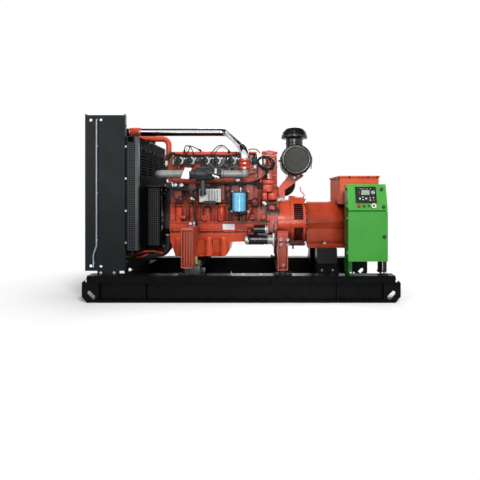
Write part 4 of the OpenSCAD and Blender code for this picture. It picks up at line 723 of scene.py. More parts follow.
def dressWiring():
    for name, (thickness, *points) in runs.items():
        addLead(name, [[v / 1000 for v in p] for p in points], thickness / 1000, "hoseRubber")
    for i, x in enumerate(ignition["coilX"]):
        addLead("coil_lead_" + str(i + 1), [(x - 0.036, -0.14, 1.638), (x - 0.062, -0.2, 1.615),
            (x - 0.068, -0.225, 1.568), (x - 0.05, -0.23, 1.526), (x - 0.016, -0.228, 1.512)],
            wiring["lead"], "hoseRubber")
    addLead("pale_lead_one", [(-0.69, -0.158, 1.70), (-0.686, -0.16, 1.735),
        (-0.668, -0.16, 1.752)], 0.013, "creamPlastic")
    addLead("pale_lead_two", [(-0.315, -0.145, 1.715), (-0.285, -0.15, 1.742),
        (-0.24, -0.15, 1.742), (-0.205, -0.15, 1.71)], 0.014, "creamPlastic")
    addLead("bare_tube", [(-0.03, -0.32, 0.834), (0.0, -0.335, 0.836), (0.29, -0.335, 0.842),
        (0.32, -0.31, 0.842)], 0.013, "brownedIron")

    # coiled spare cable on the tower, and the hose coil below it
    for i, (rx, rz, dx, dz) in enumerate(((0.108, 0.078, 0.0, 0.0), (0.1, 0.067, 0.004, 0.006),
            (0.088, 0.06, -0.006, -0.004))):
        ring = []
        for k in range(20):
            a = math.tau * k / 19
            x, z = rx * math.cos(a), rz * math.sin(a)
            ring.append((0.275 + dx + x * 0.93 + z * 0.37, -0.152 - i * 0.012, 1.548 + dz + z *
                0.93 - x * 0.37))
        addLead("spare_cable_" + str(i + 1), ring, 0.013, "hoseRubber")
    coils = bmesh.new()
    for i, r in enumerate((0.05, 0.049, 0.041)):
        addRing(coils, (0.143, -0.322 - i * 0.011, 1.067 + i * 0.003), (0.15, -1, 0.1), r, 0.0062,
            36, 8)
    finish(coils, "hose_coil", "hoseRubber")
    addLead("tower_arc", [(0.25, -0.16, 1.6), (0.285, -0.175, 1.60), (0.308, -0.178, 1.565),
        (0.302, -0.17, 1.528), (0.278, -0.16, 1.515)], 0.018, "engineEnamel")

    plugs = bmesh.new()
    addPlug(plugs, (-0.54, -0.15, 1.71), (-0.505, -0.168, 1.692), 0.011)
    addPlug(plugs, (-0.178, -0.15, 1.704), (-0.163, -0.168, 1.668), 0.011)
    addPlug(plugs, (-0.712, -0.15, 1.705), (-0.709, -0.168, 1.672), 0.011)
    addBars(plugs, (105, -200, 1530, 165, -168, 1610, 6), (118, -215, 1545, 150, -195, 1580, 4))
    addRods(plugs, (135, -200, 1600, 130, -170, 1660, 14, 10))
    addBars(plugs, (-898, -310, 1235, -838, -250, 1310, 6))
    addRods(plugs, (-870, -310, 1270, -870, -335, 1270, 20))
    addBars(plugs, (-452, -372, 1046, -312, -300, 1090, 5),
        (-490, -366, 1150, -462, -340, 1215, 3), (-450, -366, 1165, -425, -340, 1205, 3),
        (-620, -330, 1150, -580, -260, 1220, 6))
    addRods(plugs, (-690, -270, 1185, -680, -325, 1165, 18, 14))
    finish(plugs, "plugs", "blackPlastic")

    pale = bmesh.new()
    addRods(pale, (-293, -502, 1398, -288, -502, 1455, 14.5, 12.5))
    addPlug(pale, (-0.906, -0.245, 1.565), (-0.908, -0.245, 1.50), 0.0145)
    addRods(pale, (-828, -200, 1585, -832, -200, 1530, 13))
    addPlug(pale, (0.255, -0.178, 1.59), (0.262, -0.178, 1.53), 0.014)
    addRods(pale, (300, -200, 1415, 305, -210, 1355, 10.5))
    addSpun(pale, [(0, -30), (17, -30), (19, -20), (19, 18), (14, 24), (0, 26)],
        (0.256, -0.305, 1.06), (1, 0, -0.84), 20)
    addRods(pale, (-592, -335, 1130, -585, -345, 1105, 13, 10))
    for i in range(4):
        addRound(pale, (0.14 + i * 0.001, -0.212, 1.522 - i * 0.011),
            (0.14 + i * 0.001, -0.212, 1.512 - i * 0.011), 0.008 + i * 0.0035)
    finish(pale, "pale_plugs", "creamPlastic")
    print("wiring dressed")


dressWiring()


# Fittings of bare metal, drains, tags and boxes
def dressFittings():
    metal = bmesh.new()
    # pressure fittings on the throttle's outlet and the manifold
    for x, z, r in ((-0.315, 1.378, 0.012), (-0.29, 1.366, 0.015), (-0.262, 1.358, 0.012)):
        addRound(metal, (x, -0.48, z), (x, -0.512, z), r, sides=6)
        addRound(metal, (x, -0.51, z), (x, -0.524, z), r * 0.6, sides=16)
    for x, z in ((-0.786, 1.278), (-0.713, 1.278)):
        addRing(metal, (x, -0.312, z), (0, -1, 0), 0.02, 0.0045, 24, 8)
        addRound(metal, (x, -0.27, z), (x, -0.306, z), 0.017, sides=20)
    addRods(metal, (-592, -300, 1117, -560, -300, 1105, 13), sides=6)
    addRods(metal, (-20, -370, 1200, -20, -370, 1245, 8))
    addRods(metal, (-20, -370, 1225, -20, -370, 1235, 14), sides=6)
    # valve and pipe union under the intake elbow
    addRods(metal, (-55, -330, 1315, -55, -330, 1360, 16, 12))
    addRods(metal, (-78, -330, 1335, -32, -330, 1335, 10), sides=6)
    # rods and feet of the canister's frame
    for x in (-0.119, 0.07):
        addRound(metal, (x, -0.44, 0.958), (x, -0.44, 0.985), 0.013, sides=6)
        addRound(metal, (x, -0.3, 1.19), (x, -0.3, 1.212), 0.013, sides=6)
    # bolts of the legs, mounts and stands
    legBolts = bmesh.new()
    for side in (-1, 1):
        for x in (0.428, 0.504):
            for z in (0.621, 0.68):
                addBolt(legBolts, (x, side * 0.6121, z), (0, side, 0), 0.02)
        addBolt(legBolts, (0.456, side * 0.6121, 0.405), (0, side, 0), 0.017)
        for x in (-0.5875, 0.45):
            addRound(metal, (x, side * 0.556, 0.29), (x, side * 0.556, 0.298), 0.03, sides=6)
        addSpun(metal, [(30, 0), (60, 0), (62, 3), (30, 6), (30, 0)],
            (-0.5875, side * 0.561, 0.3665), (0, 0, 1), 32)
        addBolt(metal, (0.959, side * 0.29, 0.592), (0, 0, 1), 0.034)
        for x in (0.899, 1.019):
            addBolt(metal, (x, side * 0.455, 0.308), (0, 0, 1), 0.024)
        for x in (0.425, 0.468):
            addBolt(legBolts, (x, side * 0.179, 1.108), (0, side, 0), 0.022)
    for x, h in ((-0.111, 0.034), (0.02, 0.012), (0.212, 0.006)):
        addRound(metal, (x, -0.56, 0.2895), (x, -0.56, 0.2895 + h), 0.006)
        addBar(metal, (x - 0.018, -0.572, 0.2895), (x + 0.018, -0.548, 0.2935), 0.001)
    for x, z in ((0.742, 0.603), (0.742, 1.075)):
        addBolt(metal, (x, -0.265, z), (-1, 0, 0), 0.024)
    finish(metal, "bright_fittings", "brightZinc")
    finish(legBolts, "leg_bolts", "zincPlate")

    # straps that close the gap between a rail's web and its lifting plate
    straps = bmesh.new()
    for end in (-1, 1):
        for side in (-1, 1):
            middle = Vector((end * 1.5415, side * 0.5805, 0.145))
            addBar(straps, middle - Vector((0.003, 0.0125, 0.121)), middle +
                Vector((0.003, 0.0125, 0.121)), 0.001)
    finish(straps, "plate_straps", "skidEnamel")

    # pads cast between the ribs of the legs, and the feet of the front mounts
    pads, feet = bmesh.new(), bmesh.new()
    for side in (-1, 1):
        for x0, x1, z0, z1 in ((-0.636, -0.539, 0.395, 0.765), (0.409, 0.491, 0.372, 0.655)):
            middle = Vector(((x0 + x1) / 2, side * 0.585, (z0 + z1) / 2))
            half = Vector(((x1 - x0) / 2, 0.012, (z1 - z0) / 2))
            addBar(pads, middle - half, middle + half, 0.003)
        for x in (-0.5875, 0.45):
            middle = Vector((x, side * 0.561, 0.2925))
            addBar(feet, middle - Vector((0.1, 0.04, 0.003)), middle + Vector((0.1, 0.04, 0.008)),
                0.003)
            for dx in (-0.082, 0.082):
                addBolt(feet, (x + dx, side * 0.561, 0.3005), (0, 0, 1), 0.022)
    finish(pads, "leg_pads", "legEnamel")
    finish(feet, "mount_feet", "hoseRubber")

    # bolts and clamps round the top of the front leg, and the small pipes low at the radiator
    topBolts = bmesh.new()
    for x, z in ((-0.612, 0.822), (-0.565, 0.80), (-0.565, 0.835)):
        addBolt(topBolts, (x, -0.283, z), (0, -1, 0), 0.022)
    for x in (-1.395, -1.372, -1.349):
        addClamp(topBolts, (x, -0.15, 0.44), (1, 0, 0), 0.0405, 0.016)
    finish(topBolts, "clamps_and_bolts", "brightZinc")
    addLead("bypass_pipe", [(-1.43, -0.165, 0.44), (-1.36, -0.232, 0.43), (-1.25, -0.24, 0.468),
        (-1.12, -0.24, 0.503), (-1.0, -0.215, 0.485), (-0.96, -0.165, 0.45)], 0.028,
        "smoothEnamel")
    addLead("drain_pipe", [(-1.275, -0.2, 0.42), (-1.22, -0.205, 0.424), (-1.16, -0.2, 0.44),
        (-1.128, -0.17, 0.47)], 0.026, "smoothEnamel")

    # starter: bare drive-end casting, solenoid cap and end bracket
    starter = bmesh.new()
    y, z = -0.33, 0.644
    addSpun(starter, [(46, 264), (50.5, 266), (50.5, 272), (48.5, 275), (48.5, 306), (56.5, 312),
        (57.5, 318), (57.5, 334), (47, 346.5), (30, 346.5)], (0.025, y, z), (1, 0, 0), 40)
    for i in range(8):
        turn = Matrix.Rotation(math.tau * i / 8, 4, "X")
        rib = turn @ Vector((0, 0, 0.051))
        addBar(starter, Vector((0.295, y, z)) + rib - Vector((0.012, 0.0025, 0.004)),
            Vector((0.34, y, z)) + rib + Vector((0.0, 0.0025, 0.004)), 0.0015, turn)
    addSpun(starter, [(0, -0.5), (36, -0.5), (47.5, 6), (49.5, 16), (58.5, 18), (58.5, 48),
        (55.5, 50)], (0.025, y, z), (1, 0, 0), 40)
    zs = z + 0.119
    addSpun(starter, [(0, 2), (40, 2), (48.5, -4), (48.5, -12), (44, -15), (44, -22), (48.5, -25),
        (48.5, -36), (46, -38)], (0.299, y, zs), (1, 0, 0), 32)
    for dz in (-0.026, 0.0, 0.026):
        addBolt(starter, (0.285, y - 0.046, zs + dz), (0, -1, 0), 0.012)
    addBars(starter, (347, -392, 572, 370.5, -270, 722, 3))
    finish(starter, "starter_castings", "dieCastAluminium")

    bands = bmesh.new()
    for x in (0.088, 0.225):
        addSpun(bands, [(58, -6), (60.5, -5), (60.5, 5), (58, 6)], (x, y, z), (1, 0, 0), 40)
    for i in range(6):
        addSpun(bands, [(48, -4), (49.8, -3), (49.8, 3), (48, 4)], (0.148 + i * 0.017, y, zs),
            (1, 0, 0), 32)
    addRound(bands, (0.075, y - 0.05, z + 0.02), (0.075, y - 0.066, z + 0.02), 0.011)
    for dx in (0, 0.03):
        addRound(bands, (0.106 + dx, y - 0.01, zs - 0.03), (0.106 + dx, y - 0.01, zs + 0.01),
            0.009, sides=12)
    addLead("starter_cable", [(0.105, y - 0.02, zs + 0.01), (0.085, y - 0.035, zs + 0.03),
        (0.055, y - 0.03, zs + 0.0), (0.06, y - 0.055, z + 0.06), (0.075, y - 0.062, z + 0.02)],
        0.014, "hoseRubber")
    addRods(bands, (606, -100, 585, 606, -100, 502, 10))
    finish(bands, "starter_bands", "blackPlastic")
    redBoots = bmesh.new()
    addRound(redBoots, (0.082, y - 0.034, zs - 0.02), (0.082, y - 0.06, zs - 0.02), 0.016, 0.011)
    addRound(redBoots, (0.1, y - 0.04, zs - 0.045), (0.12, y - 0.06, zs - 0.05), 0.013, 0.01)
    finish(redBoots, "starter_boots", "thinEnamel")

    # blank tags: the plate on the crankcase and the card tied to the air pipe
    tags = bmesh.new()
    addBars(tags, (-240, -253.5, 727, -97, -250, 819, 1))
    finish(tags, "blank_plate", "whiteTag")
    card = bmesh.new()
    corners = [card.verts.new(p) for p in ((-0.636, -0.4795, 1.468), (-0.56, -0.4795, 1.462),
        (-0.594, -0.492, 1.339), (-0.68, -0.492, 1.348))]
    sheet = card.faces.new(corners)
    grown = bmesh.ops.extrude_face_region(card, geom=[sheet])
    bmesh.ops.translate(card, vec=(0, 0.0012, 0), verts=[v for v in grown["geom"] if
        isinstance(v, bmesh.types.BMVert)])
    finish(card, "blank_card", "whiteTag")

    # sump drain rod with its T-bar, sleeve and the box at the rail
    drain = bmesh.new()
    addRods(drain, (-542, -262, 735, -542, -290, 705, 12), (-542, -300, 725, -542, -300, 452, 9.5),
        (-586, -300, 478, -496, -300, 478, 7))
    addSpun(drain, [(0, 0), (14, 0), (16, 4), (16, 20), (0, 20)], (-0.542, -0.3, 0.448), (0, 0, 1),
        20)
    finish(drain, "drain_rod", "smoothEnamel")
    sleeve = bmesh.new()
    addSpun(sleeve, [(0, 0), (17, 0), (19, 6), (15, 12), (17, 20), (16, 70), (10, 88), (0, 88)],
        (-0.542, -0.3, 0.36), (0, 0, 1), 24)
    finish(sleeve, "drain_sleeve", "yellowGreenSleeve")
    addLead("drain_hose", [(-0.542, -0.3, 0.362), (-0.542, -0.32, 0.33), (-0.53, -0.4, 0.315),
        (-0.51, -0.47, 0.31), (-0.505, -0.53, 0.32)], 0.02, "hoseRubber")
    box = bmesh.new()
    addBars(box, (-560, -602, 289.5, -450, -530, 390, 3), (-450, -585, 289.5, -442, -530, 350, 1),
        (-442, -575, 315, -395, -535, 365, 4))
    addRods(box, (-420, -555, 289.5, -420, -555, 320, 12))
    finish(box, "rail_box", "darkGreyPlastic")

    # pump and valve bodies between the block and the bell housing
    pumps = bmesh.new()
    addBars(pumps, (285, -322, 1045, 402, -262, 1060, 3), (285, -322, 962, 402, -262, 977, 3),
        (285, -320, 970, 300, -262, 1052, 3), (387, -320, 970, 402, -262, 1052, 3))
    addRods(pumps, (420, -335, 985, 420, -290, 985, 16))
    finish(pumps, "valve_frame", "blackPlastic")
    bodies = bmesh.new()
    addBars(bodies, (305, -312, 980, 382, -262, 1042, 5))
    addRods(bodies, (335, -312, 1012, 335, -326, 1012, 18))
    addBars(bodies, (237, -300, 1289, 377, -200, 1336, 5), (226, -300, 1196, 350, -262, 1283, 6),
        (225, -305, 1100, 287, -262, 1190, 6), (300, -300, 1103, 400, -262, 1184, 5))
    addRods(bodies, (262, -300, 1245, 262, -308, 1245, 22), (310, -300, 1245, 310, -308, 1245, 12))
    finish(bodies, "valve_bodies", "engineEnamel")
    print("fittings dressed")


dressFittings()


# Air filter, rain cap and adaptor

airFilter = {"x": 0.63, "z": 1.578, "radius": 0.18, "capRadius": 0.164}


def dressFilter():
    x, z = airFilter["x"], airFilter["z"]
    near = low("air_filter").y
    r = airFilter["radius"]
    ring = bmesh.new()
    addTurned(ring, [(r - 0.042, -0.012), (r - 0.036, 0.004), (r - 0.02, 0.008),
        (r - 0.006, 0.002), (r, -0.012), (r, -0.03), (r - 0.003, -0.034), (r - 0.003, -0.052),
        (r, -0.056), (r, -0.075), (r - 0.004, -0.08), (r - 0.02, -0.08)], (x, near, z), (0, -1, 0),
        72)
    finish(ring, "filter_ring", "glossBlackPlastic", sharp=50)
    disc = bmesh.new()
    addTurned(disc, [(0, 0.001), (0.06, 0.001), (0.062, -0.001), (0.066, -0.001), (0.068, 0.001),
        (r - 0.042, 0.001), (r - 0.038, -0.012), (0, -0.012)], (x, near, z), (0, -1, 0), 72)
    finish(disc, "filter_disc", "filterPaper")

    # spring clips round the lid, and the ears of the clamp
    clips = bmesh.new()
    for a in (8, 68, 128, 188, 248, 308):
        turn = Matrix.Rotation(math.radians(-a), 4, "Y")
        out = turn @ Vector((r + 0.002, 0, 0))
        at = Vector((x, near + 0.055, z)) + out
        addBar(clips, at - Vector((0.004, 0.03, 0.011)), at + Vector((0.004, 0.03, 0.011)), 0.002,
            turn)
    for side in (-1, 1):
        addBar(clips, (x + side * 0.178, near + 0.04, z - 0.033),
            (x + side * 0.19, near + 0.07, z + 0.034), 0.002)
    finish(clips, "filter_clips", "darkIron")
    rod = bmesh.new()
    addRound(rod, (x + 0.178, near + 0.05, z - 0.038), (x + 0.176, near + 0.05, z - 0.108), 0.006)
    addBar(rod, (x + 0.17, near + 0.04, z - 0.045), (x + 0.188, near + 0.06, z - 0.033), 0.002)
    finish(rod, "filter_rod", "smoothEnamel")

    # rain cap: a short neck, a skirt that stands out round it and a ribbed dome
    c = airFilter["capRadius"]
    base = z + 0.157
    cap = bmesh.new()
    addTurned(cap, [(0.0, z + 0.13), (0.105, z + 0.13), (0.105, base + 0.085),
        (0.108, base + 0.12), (c - 0.012, base + 0.125), (c - 0.006, base + 0.128),
        (c, base + 0.135), (c - 0.002, base + 0.165), (c - 0.012, base + 0.188),
        (c - 0.014, base + 0.19), (c - 0.016, base + 0.204), (c - 0.03, base + 0.226),
        (c * 0.72, base + 0.246), (c * 0.5, base + 0.26), (c * 0.25, base + 0.268),
        (0.0, base + 0.27)], (x, 0, 0), (0, 0, 1), 72)
    for k in range(2):
        addRing(cap, (x, 0, base + 0.1885 + 0.0135 * k), (0, 0, 1), c - 0.014 - 0.002 * k, 0.0035,
            72, 8)
    finish(cap, "rain_cap_shell", "glossBlackPlastic", sharp=50, stands=("rain_cap",))
    neckClamp = bmesh.new()
    addClamp(neckClamp, (x, 0, base + 0.07), (0, 0, 1), 0.1052, 0.014)
    finish(neckClamp, "cap_clamp", "darkIron")

    # bracket that carries the filter's front edge
    bracket = bmesh.new()
    addBars(bracket, (413, -362, 1545, 458, -330, 1564, 3), (447, -362, 1520, 458, -330, 1564, 2))
    finish(bracket, "filter_lug", "blackPlastic")

    # bolts that hold the filter's brackets, and the bent rod on the adaptor
    bolts = bmesh.new()
    for bx, bz in ((0.448, 1.112), (0.49, 1.112), (0.616, 1.372), (0.66, 1.395)):
        addBolt(bolts, (bx, low("filter_brackets").y, bz), (0, -1, 0), 0.02)
    finish(bolts, "bracket_bolts", "zincPlate")
    # bars between the adaptor's slots, in a dark tone that is painted shade
    bars = bmesh.new()
    radius, axisZ, pitch = high("adaptor").y, 0.84, 0.0245
    heights = [0.034 + 0.013 + i * pitch for i in range(7)]
    heights += [-0.057 - (i + 1) * pitch for i in range(6)]
    for h in heights:
        a = math.asin((h + 0.00575) / radius)
        for side in (-1, 1):
            turn = Matrix.Rotation(side * a, 4, "X")
            middle = Vector((0.654, side * radius * math.cos(a), axisZ + radius * math.sin(a)))
            half = Vector((0.054, 0.0012, 0.0056 / math.cos(a)))
            addBar(bars, middle - half, middle + half, 0.0005, turn)
    finish(bars, "louvre_bars", "louvreShade")
    addLead("bent_rod", [(0.696, -0.11, 1.262), (0.692, -0.11, 1.215), (0.703, -0.11, 1.205),
        (0.741, -0.11, 1.168), (0.744, -0.11, 1.155), (0.73, -0.11, 1.118)], 0.011, "smoothEnamel")
    print("filter dressed")


dressFilter()


# Control panel and locks

slopeAngle = math.radians(13.75)
cabinet = {"doorY": -0.59, "kneeZ": 0.994, "screen": (1.314, 1.402, 0.169, 0.223)}


# a point on the sloped door: x, height up the slope, and how far it stands proud of the face
def onSlope(x, h, proud=0.0):
    s, c = math.sin(slopeAngle), math.cos(slopeAngle)
    return Vector((x, cabinet["doorY"] + h * s - proud * c, cabinet["kneeZ"] + h * c + proud * s))


outOfSlope = Vector((0, -math.cos(slopeAngle), math.sin(slopeAngle)))
slopeTurn = Matrix.Rotation(-slopeAngle, 4, "X")


# a bar lying on the sloped door, from a height in front of its face to another
def addPanelBar(bm, x0, x1, h0, h1, back, front, edge=0.0):
    middle = onSlope((x0 + x1) / 2, (h0 + h1) / 2, (back + front) / 2)
    half = Vector(((x1 - x0) / 2, (front - back) / 2, (h1 - h0) / 2))
    addBar(bm, middle - half, middle + half, edge, slopeTurn)


def dressPanel():
    face = 0.012
    shell = bmesh.new()
    for x0, x1, h0, h1 in ((1.249, 1.475, 0.254, 0.262), (1.249, 1.475, 0.084, 0.092),
            (1.249, 1.257, 0.084, 0.262), (1.467, 1.475, 0.084, 0.262)):
        addPanelBar(shell, x0, x1, h0, h1, face - 0.004, face + 0.004, 0.0015)
    addPanelBar(shell, 1.306, 1.41, 0.162, 0.23, face - 0.001, face + 0.0035, 0.0015)
    finish(shell, "controller_rim", "blackPlastic", body="upper_door")

    screen = bmesh.new()
    x0, x1, h0, h1 = cabinet["screen"]
    addPanelBar(screen, x0, x1, h0, h1, face, face + 0.005, 0.001)
    finish(screen, "controller_screen", "displayGlass", body="upper_door")

    keys, redKeys, glows = bmesh.new(), bmesh.new(), bmesh.new()
    for x, h, size in ((1.294, 0.127, 0.017), (1.325, 0.143, 0.012), (1.329, 0.116, 0.014),
            (1.3605, 0.127, 0.017), (1.404, 0.138, 0.012), (1.405, 0.11, 0.014),
            (1.442, 0.138, 0.012)):
        addPanelBar(keys, x - size / 2, x + size / 2, h - size / 2, h + size / 2, face, face +
            0.006, 0.002)
    addPanelBar(redKeys, 1.4345, 1.4515, 0.0995, 0.1165, face, face + 0.006, 0.002)
    for h in (0.206, 0.195, 0.183):
        addRound(glows, onSlope(1.292, h, face), onSlope(1.292, h, face + 0.003), 0.004, sides=12)
    for x in (1.30, 1.32, 1.35, 1.375, 1.41):
        addPanelBar(keys, x, x + 0.012, 0.238, 0.242, face, face + 0.001)
    # the ring of direction keys
    addRing(keys, onSlope(1.4406, 0.197, face + 0.002), outOfSlope, 0.017, 0.0035, 28, 8)
    addRound(keys, onSlope(1.4406, 0.197, face), onSlope(1.4406, 0.197, face + 0.005), 0.008,
        sides=16)
    finish(keys, "controller_keys", "creamPlastic", body="upper_door")
    finish(redKeys, "controller_stop_key", "redPlastic", body="upper_door")
    finish(glows, "controller_lamps", "lampRed", body="upper_door")

    # the row of controls below: two push-buttons, a key switch and the round sounder
    bezels = bmesh.new()
    for x, r in ((1.281, 0.019), (1.337, 0.018), (1.389, 0.012), (1.441, 0.033)):
        addTurned(bezels, [(0, 0), (r, 0), (r, 0.002), (r - 0.002, 0.004), (r - 0.004, 0.004),
            (r - 0.005, 0.003), (0, 0.003)], onSlope(x, 0.048), outOfSlope, 32)
    finish(bezels, "control_bezels", "darkZinc", body="upper_door", stands=("panel_buttons",))
    for name, x, r, tall, mat in (("stop_button", 1.281, 0.016, 0.014, "redPlastic"),
            ("start_button", 1.337, 0.015, 0.012, "brownPlastic"),
            ("key_switch", 1.389, 0.008, 0.01, "darkIron")):
        button = bmesh.new()
        addTurned(button, [(0, 0.002), (r, 0.002), (r, tall - 0.003), (r - 0.003, tall),
            (0, tall)], onSlope(x, 0.048), outOfSlope, 28)
        if name == "key_switch":
            addPanelBar(button, x - 0.0015, x + 0.0015, 0.038, 0.058, tall, tall + 0.012, 0.0005)
        finish(button, name, mat, body="upper_door")
    sounder = bmesh.new()
    addSpun(sounder, [(11.5, 3), (11.5, 9), (14, 11.5), (27, 11.5), (29, 9), (29.5, 3), (11.5, 3)],
        onSlope(1.441, 0.048), outOfSlope, 40)
    finish(sounder, "sounder", "creamPlastic", body="upper_door")
    heart = bmesh.new()
    addSpun(heart, [(0, 3), (11, 3), (11, 6), (0, 6)], onSlope(1.441, 0.048), outOfSlope, 24)
    finish(heart, "sounder_mesh", "blackPlastic", body="upper_door")

    # black quarter-turn locks with bare metal inserts
    places = (("upper_door", onSlope(1.547, 0.038, 0.009), outOfSlope), ("upper_door",
        onSlope(1.539, 0.236, 0.009), outOfSlope), ("lower_door", Vector((1.553, -0.599, 0.7095)),
        Vector((0, -1, 0))))
    for body in ("upper_door", "lower_door"):
        rims, inserts = bmesh.new(), bmesh.new()
        for owner, at, way in places:
            if owner == body:
                addSpun(rims, [(0, 0), (18, 0), (18.5, 2), (17.5, 5), (11, 6), (11, 3), (0, 3)],
                    at, way, 28)
                addSpun(inserts, [(0, 3), (10.5, 3), (10.5, 5.5), (4, 5.5), (4, 4), (0, 4)], at,
                    way, 24)
        finish(rims, body + "_lock_rims", "blackPlastic", body=body)
        finish(inserts, body + "_lock_inserts", "darkZinc", body=body)

    # mounting plate, rails, terminal blocks, relays and trunking on the cabinet's back wall
    wall = -0.399
    plate, rails, blocks, relays, ducts = (bmesh.new() for _ in range(5))
    addBar(plate, (1.19, wall - 0.003, 0.46), (1.565, wall, 0.93), 0.001)
    for z in (0.60, 0.78):
        addBar(rails, (1.235, wall - 0.0105, z - 0.0175), (1.52, wall - 0.003, z + 0.0175), 0.001)
    for i in range(22):
        x = 1.25 + i * 0.0115
        addBar(blocks, (x, wall - 0.05, 0.577), (x + 0.009, wall - 0.0105, 0.623), 0.001)
    for i in range(6):
        x = 1.25 + i * 0.042
        addBar(relays, (x, wall - 0.058, 0.748), (x + 0.036, wall - 0.0105, 0.812), 0.002)
        addBar(relays, (x + 0.005, wall - 0.072, 0.763), (x + 0.031, wall - 0.05, 0.797), 0.002)
    for z in (0.505, 0.69, 0.87):
        addBar(ducts, (1.2, wall - 0.045, z - 0.015), (1.555, wall - 0.003, z + 0.015), 0.0015)
    addBar(ducts, (1.195, wall - 0.045, 0.49), (1.222, wall - 0.003, 0.885), 0.0015)
    for bm, name, mat, slot in ((plate, "mounting_plate", "zincPlate", "zinc_steel"),
            (rails, "mounting_rails", "brightZinc", "zinc_steel"),
            (blocks, "terminal_blocks", "creamPlastic", "button_cream"),
            (relays, "relays", "darkGreyPlastic", "black_plastic"),
            (ducts, "trunking", "greyCoat", "black_plastic")):
        finish(bm, name, mat)
    for i, x in enumerate((1.27, 1.31, 1.35, 1.40, 1.44, 1.48)):
        addLead("panel_wire_" + str(i + 1), [(x, wall - 0.02, 0.812), (x, wall - 0.045, 0.83),
            (x + 0.004, wall - 0.043, 0.86)], 0.004, "hoseRubber" if i % 2 else "redPlastic")

    screws = bmesh.new()
    for x, z in ((1.248, 1.372), (1.466, 1.372), (1.57, 1.372)):
        addBolt(screws, (x, low("terminal_box").y, z), (0, -1, 0), 0.012)
    finish(screws, "lid_screws", "darkIron")
    feet = bmesh.new()
    for x in (1.19, 1.225, 1.535, 1.57):
        addBolt(feet, (x, -0.58, 0.311), (0, 0, 1), 0.017)
    finish(feet, "cabinet_foot_bolts", "creamPlastic")
    print("control panel dressed")


dressPanel()


# Camera, light and floor

photo = {"place": (0.207, -4.413, 1.161), "lens": 26.4, "right": -0.0425, "down": -0.09375}

camera = bpy.data.objects.new("camera", bpy.data.cameras.new("camera"))
camera.location = photo["place"]
camera.rotation_euler = (math.pi / 2, 0, 0)
camera.data.sensor_width = 36
camera.data.lens = photo["lens"]
camera.data.shift_x = photo["right"]
camera.data.shift_y = photo["down"]
camera.data.clip_end = 100
bpy.context.collection.objects.link(camera)
bpy.context.scene.camera = camera

studio = {"key": {"place": (1.5, -5.0, 4.8), "aim": (0, 0, 0.9), "size": 2.2, "power": 370,
    "gloss": False}, "fill": {"place": (-4.2, -4.6, 2.2), "aim": (-0.3, 0, 0.9), "size": 3.2,
    "power": 60}, "strip": {"place": (0.2, -5.6, 0.5), "aim": (0.2, 0, 0.8), "size": 6.0, "tall":
    0.4, "power": 22}, "high_spark": {"place": (0.3, -5.4, 2.6), "aim": (0, 0, 0.9), "size": 1.1,
    "power": 110, "diffuse": False}, "low_spark": {"place": (0.9, -5.6, 0.62), "aim":
    (0.4, 0, 0.84), "size": 0.7, "power": 38, "diffuse": False}, "top": {"place": (0, 0.6, 5.6),
    "aim": (0, 0, 0.9), "size": 4.5, "power": 210}, "back": {"place": (0.5, 5.2, 3.4), "aim":
    (0, 0, 0.9), "size": 4.0, "power": 150},}
for name, lamp in studio.items():
    light = bpy.data.objects.new(name, bpy.data.lights.new(name, "AREA"))
    light.data.size = lamp["size"]
    if "tall" in lamp:
        light.data.shape, light.data.size_y = "RECTANGLE", lamp["tall"]
    light.data.energy = lamp["power"]
    light.visible_glossy = lamp.get("gloss", True)
    light.visible_diffuse = lamp.get("diffuse", True)
    light.location = lamp["place"]
    aim = Vector(lamp["aim"]) - Vector(lamp["place"])
    light.rotation_euler = aim.to_track_quat("-Z", "Y").to_euler()
    bpy.context.collection.objects.link(light)


# 1 for the rays that look at the backdrop: from the camera, a gloss or through glass
def lookingRays(tree):
    rays = addNode(tree, "LightPath").outputs
    two = addNode(tree, "Math", {0: rays["Is Camera Ray"], 1: rays["Is Transmission Ray"]},
        operation="MAXIMUM")
    return addNode(tree, "Math", {0: two.outputs[0], 1: rays["Is Glossy Ray"]},
        operation="MAXIMUM").outputs[0]


world = bpy.data.worlds.new("room")
bpy.context.scene.world = world
world.use_nodes = True
room = world.node_tree
room.nodes.clear()
lit = addNode(room, "Background", {"Color": toLinear("#eef1f4"), "Strength": 0.17})
white = addNode(room, "Background", {"Color": [1, 1, 1, 1], "Strength": 1.0})
either = addNode(room, "MixShader", {0: lookingRays(room), 1: lit.outputs[0], 2: white.outputs[0]})
addNode(room, "OutputWorld", {0: either.outputs[0]})

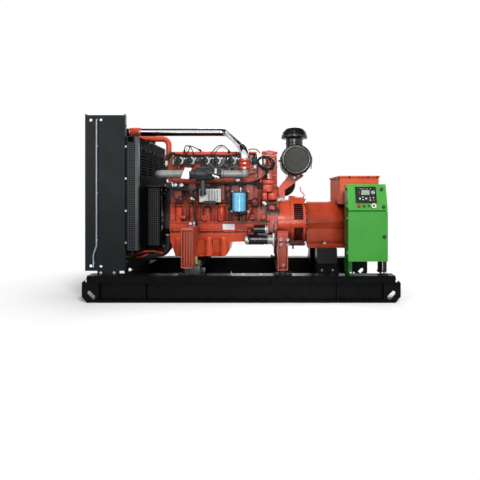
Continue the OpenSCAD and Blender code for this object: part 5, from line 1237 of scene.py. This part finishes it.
# paper floor: pale round the object, where it takes the shadow, and fading to the backdrop's
# white; the light it throws up under the object is that of an ordinary floor
floorLook = {"reach": (2.5, 1.3), "paper": "#f5f5f4", "bounce": "#444443"}
floorMat, tree, bsdf, coords = newMaterial("floorPaper",
    {"Roughness": 0.9, "Specular IOR Level": 0.0})
looking = lookingRays(tree)
reach = floorLook["reach"]
spread = addNode(tree, "VectorMath", {0: coords, 1: [1 / reach[0], 1 / reach[1], 0]},
    operation="MULTIPLY")
away = addNode(tree, "VectorMath", {0: spread.outputs[0]}, operation="LENGTH").outputs[1]
fade = addNode(tree, "MapRange", {"Value": away, "From Min": 0.8, "From Max": 1.4},
    interpolation_type="SMOOTHSTEP")
whiteness = addNode(tree, "Math", {0: fade.outputs[0], 1: looking}, operation="MULTIPLY")
tone = addNode(tree, "Mix", {0: looking, 6: toLinear(floorLook["bounce"]), 7:
    toLinear(floorLook["paper"])}, data_type="RGBA")
tree.links.new(tone.outputs[2], bsdf.inputs["Base Color"])
glow = addNode(tree, "Emission", {"Color": [1, 1, 1, 1], "Strength": 1.0})
paper = addNode(tree, "MixShader", {0: whiteness.outputs[0], 1: bsdf.outputs[0], 2:
    glow.outputs[0]})
tree.links.new(paper.outputs[0], tree.nodes["Material Output"].inputs[0])
bm = bmesh.new()
bmesh.ops.create_grid(bm, x_segments=1, y_segments=1, size=16,
    matrix=Matrix.Translation((0, 0, -0.0005)))
mesh = bpy.data.meshes.new("floor")
bm.to_mesh(mesh)
bm.free()
mesh.materials.append(floorMat)
floor = bpy.data.objects.new("floor", mesh)
bpy.context.collection.objects.link(floor)

# dark cards on the floor in front and overhead that only gloss shows, as a photographer sets
# them up to give chrome its dark bands
cards = {"dark_floor_card": ((0.2, -4.1, 0.001), (14, 5.2, 0.001)), "dark_roof_card":
    ((0.2, 0.1, 4.4), (14, 4.2, 0.02))}
cardMat, _, _, _ = newMaterial("darkCard", {"Base Color": toLinear("#0c120e"), "Roughness": 0.9,
    "Specular IOR Level": 0.0})
for name, (middle, sides) in cards.items():
    bm = bmesh.new()
    bmesh.ops.create_cube(bm, size=1, matrix=Matrix.Translation(middle) @
        Matrix.Diagonal((*sides, 1)))
    mesh = bpy.data.meshes.new(name)
    bm.to_mesh(mesh)
    bm.free()
    mesh.materials.append(cardMat)
    card = bpy.data.objects.new(name, mesh)
    card.visible_camera = False
    card.visible_diffuse = False
    card.visible_transmission = False
    card.visible_shadow = False
    bpy.context.collection.objects.link(card)
bpy.context.scene.view_settings.view_transform = "Standard"
print("camera, lamps and floor")
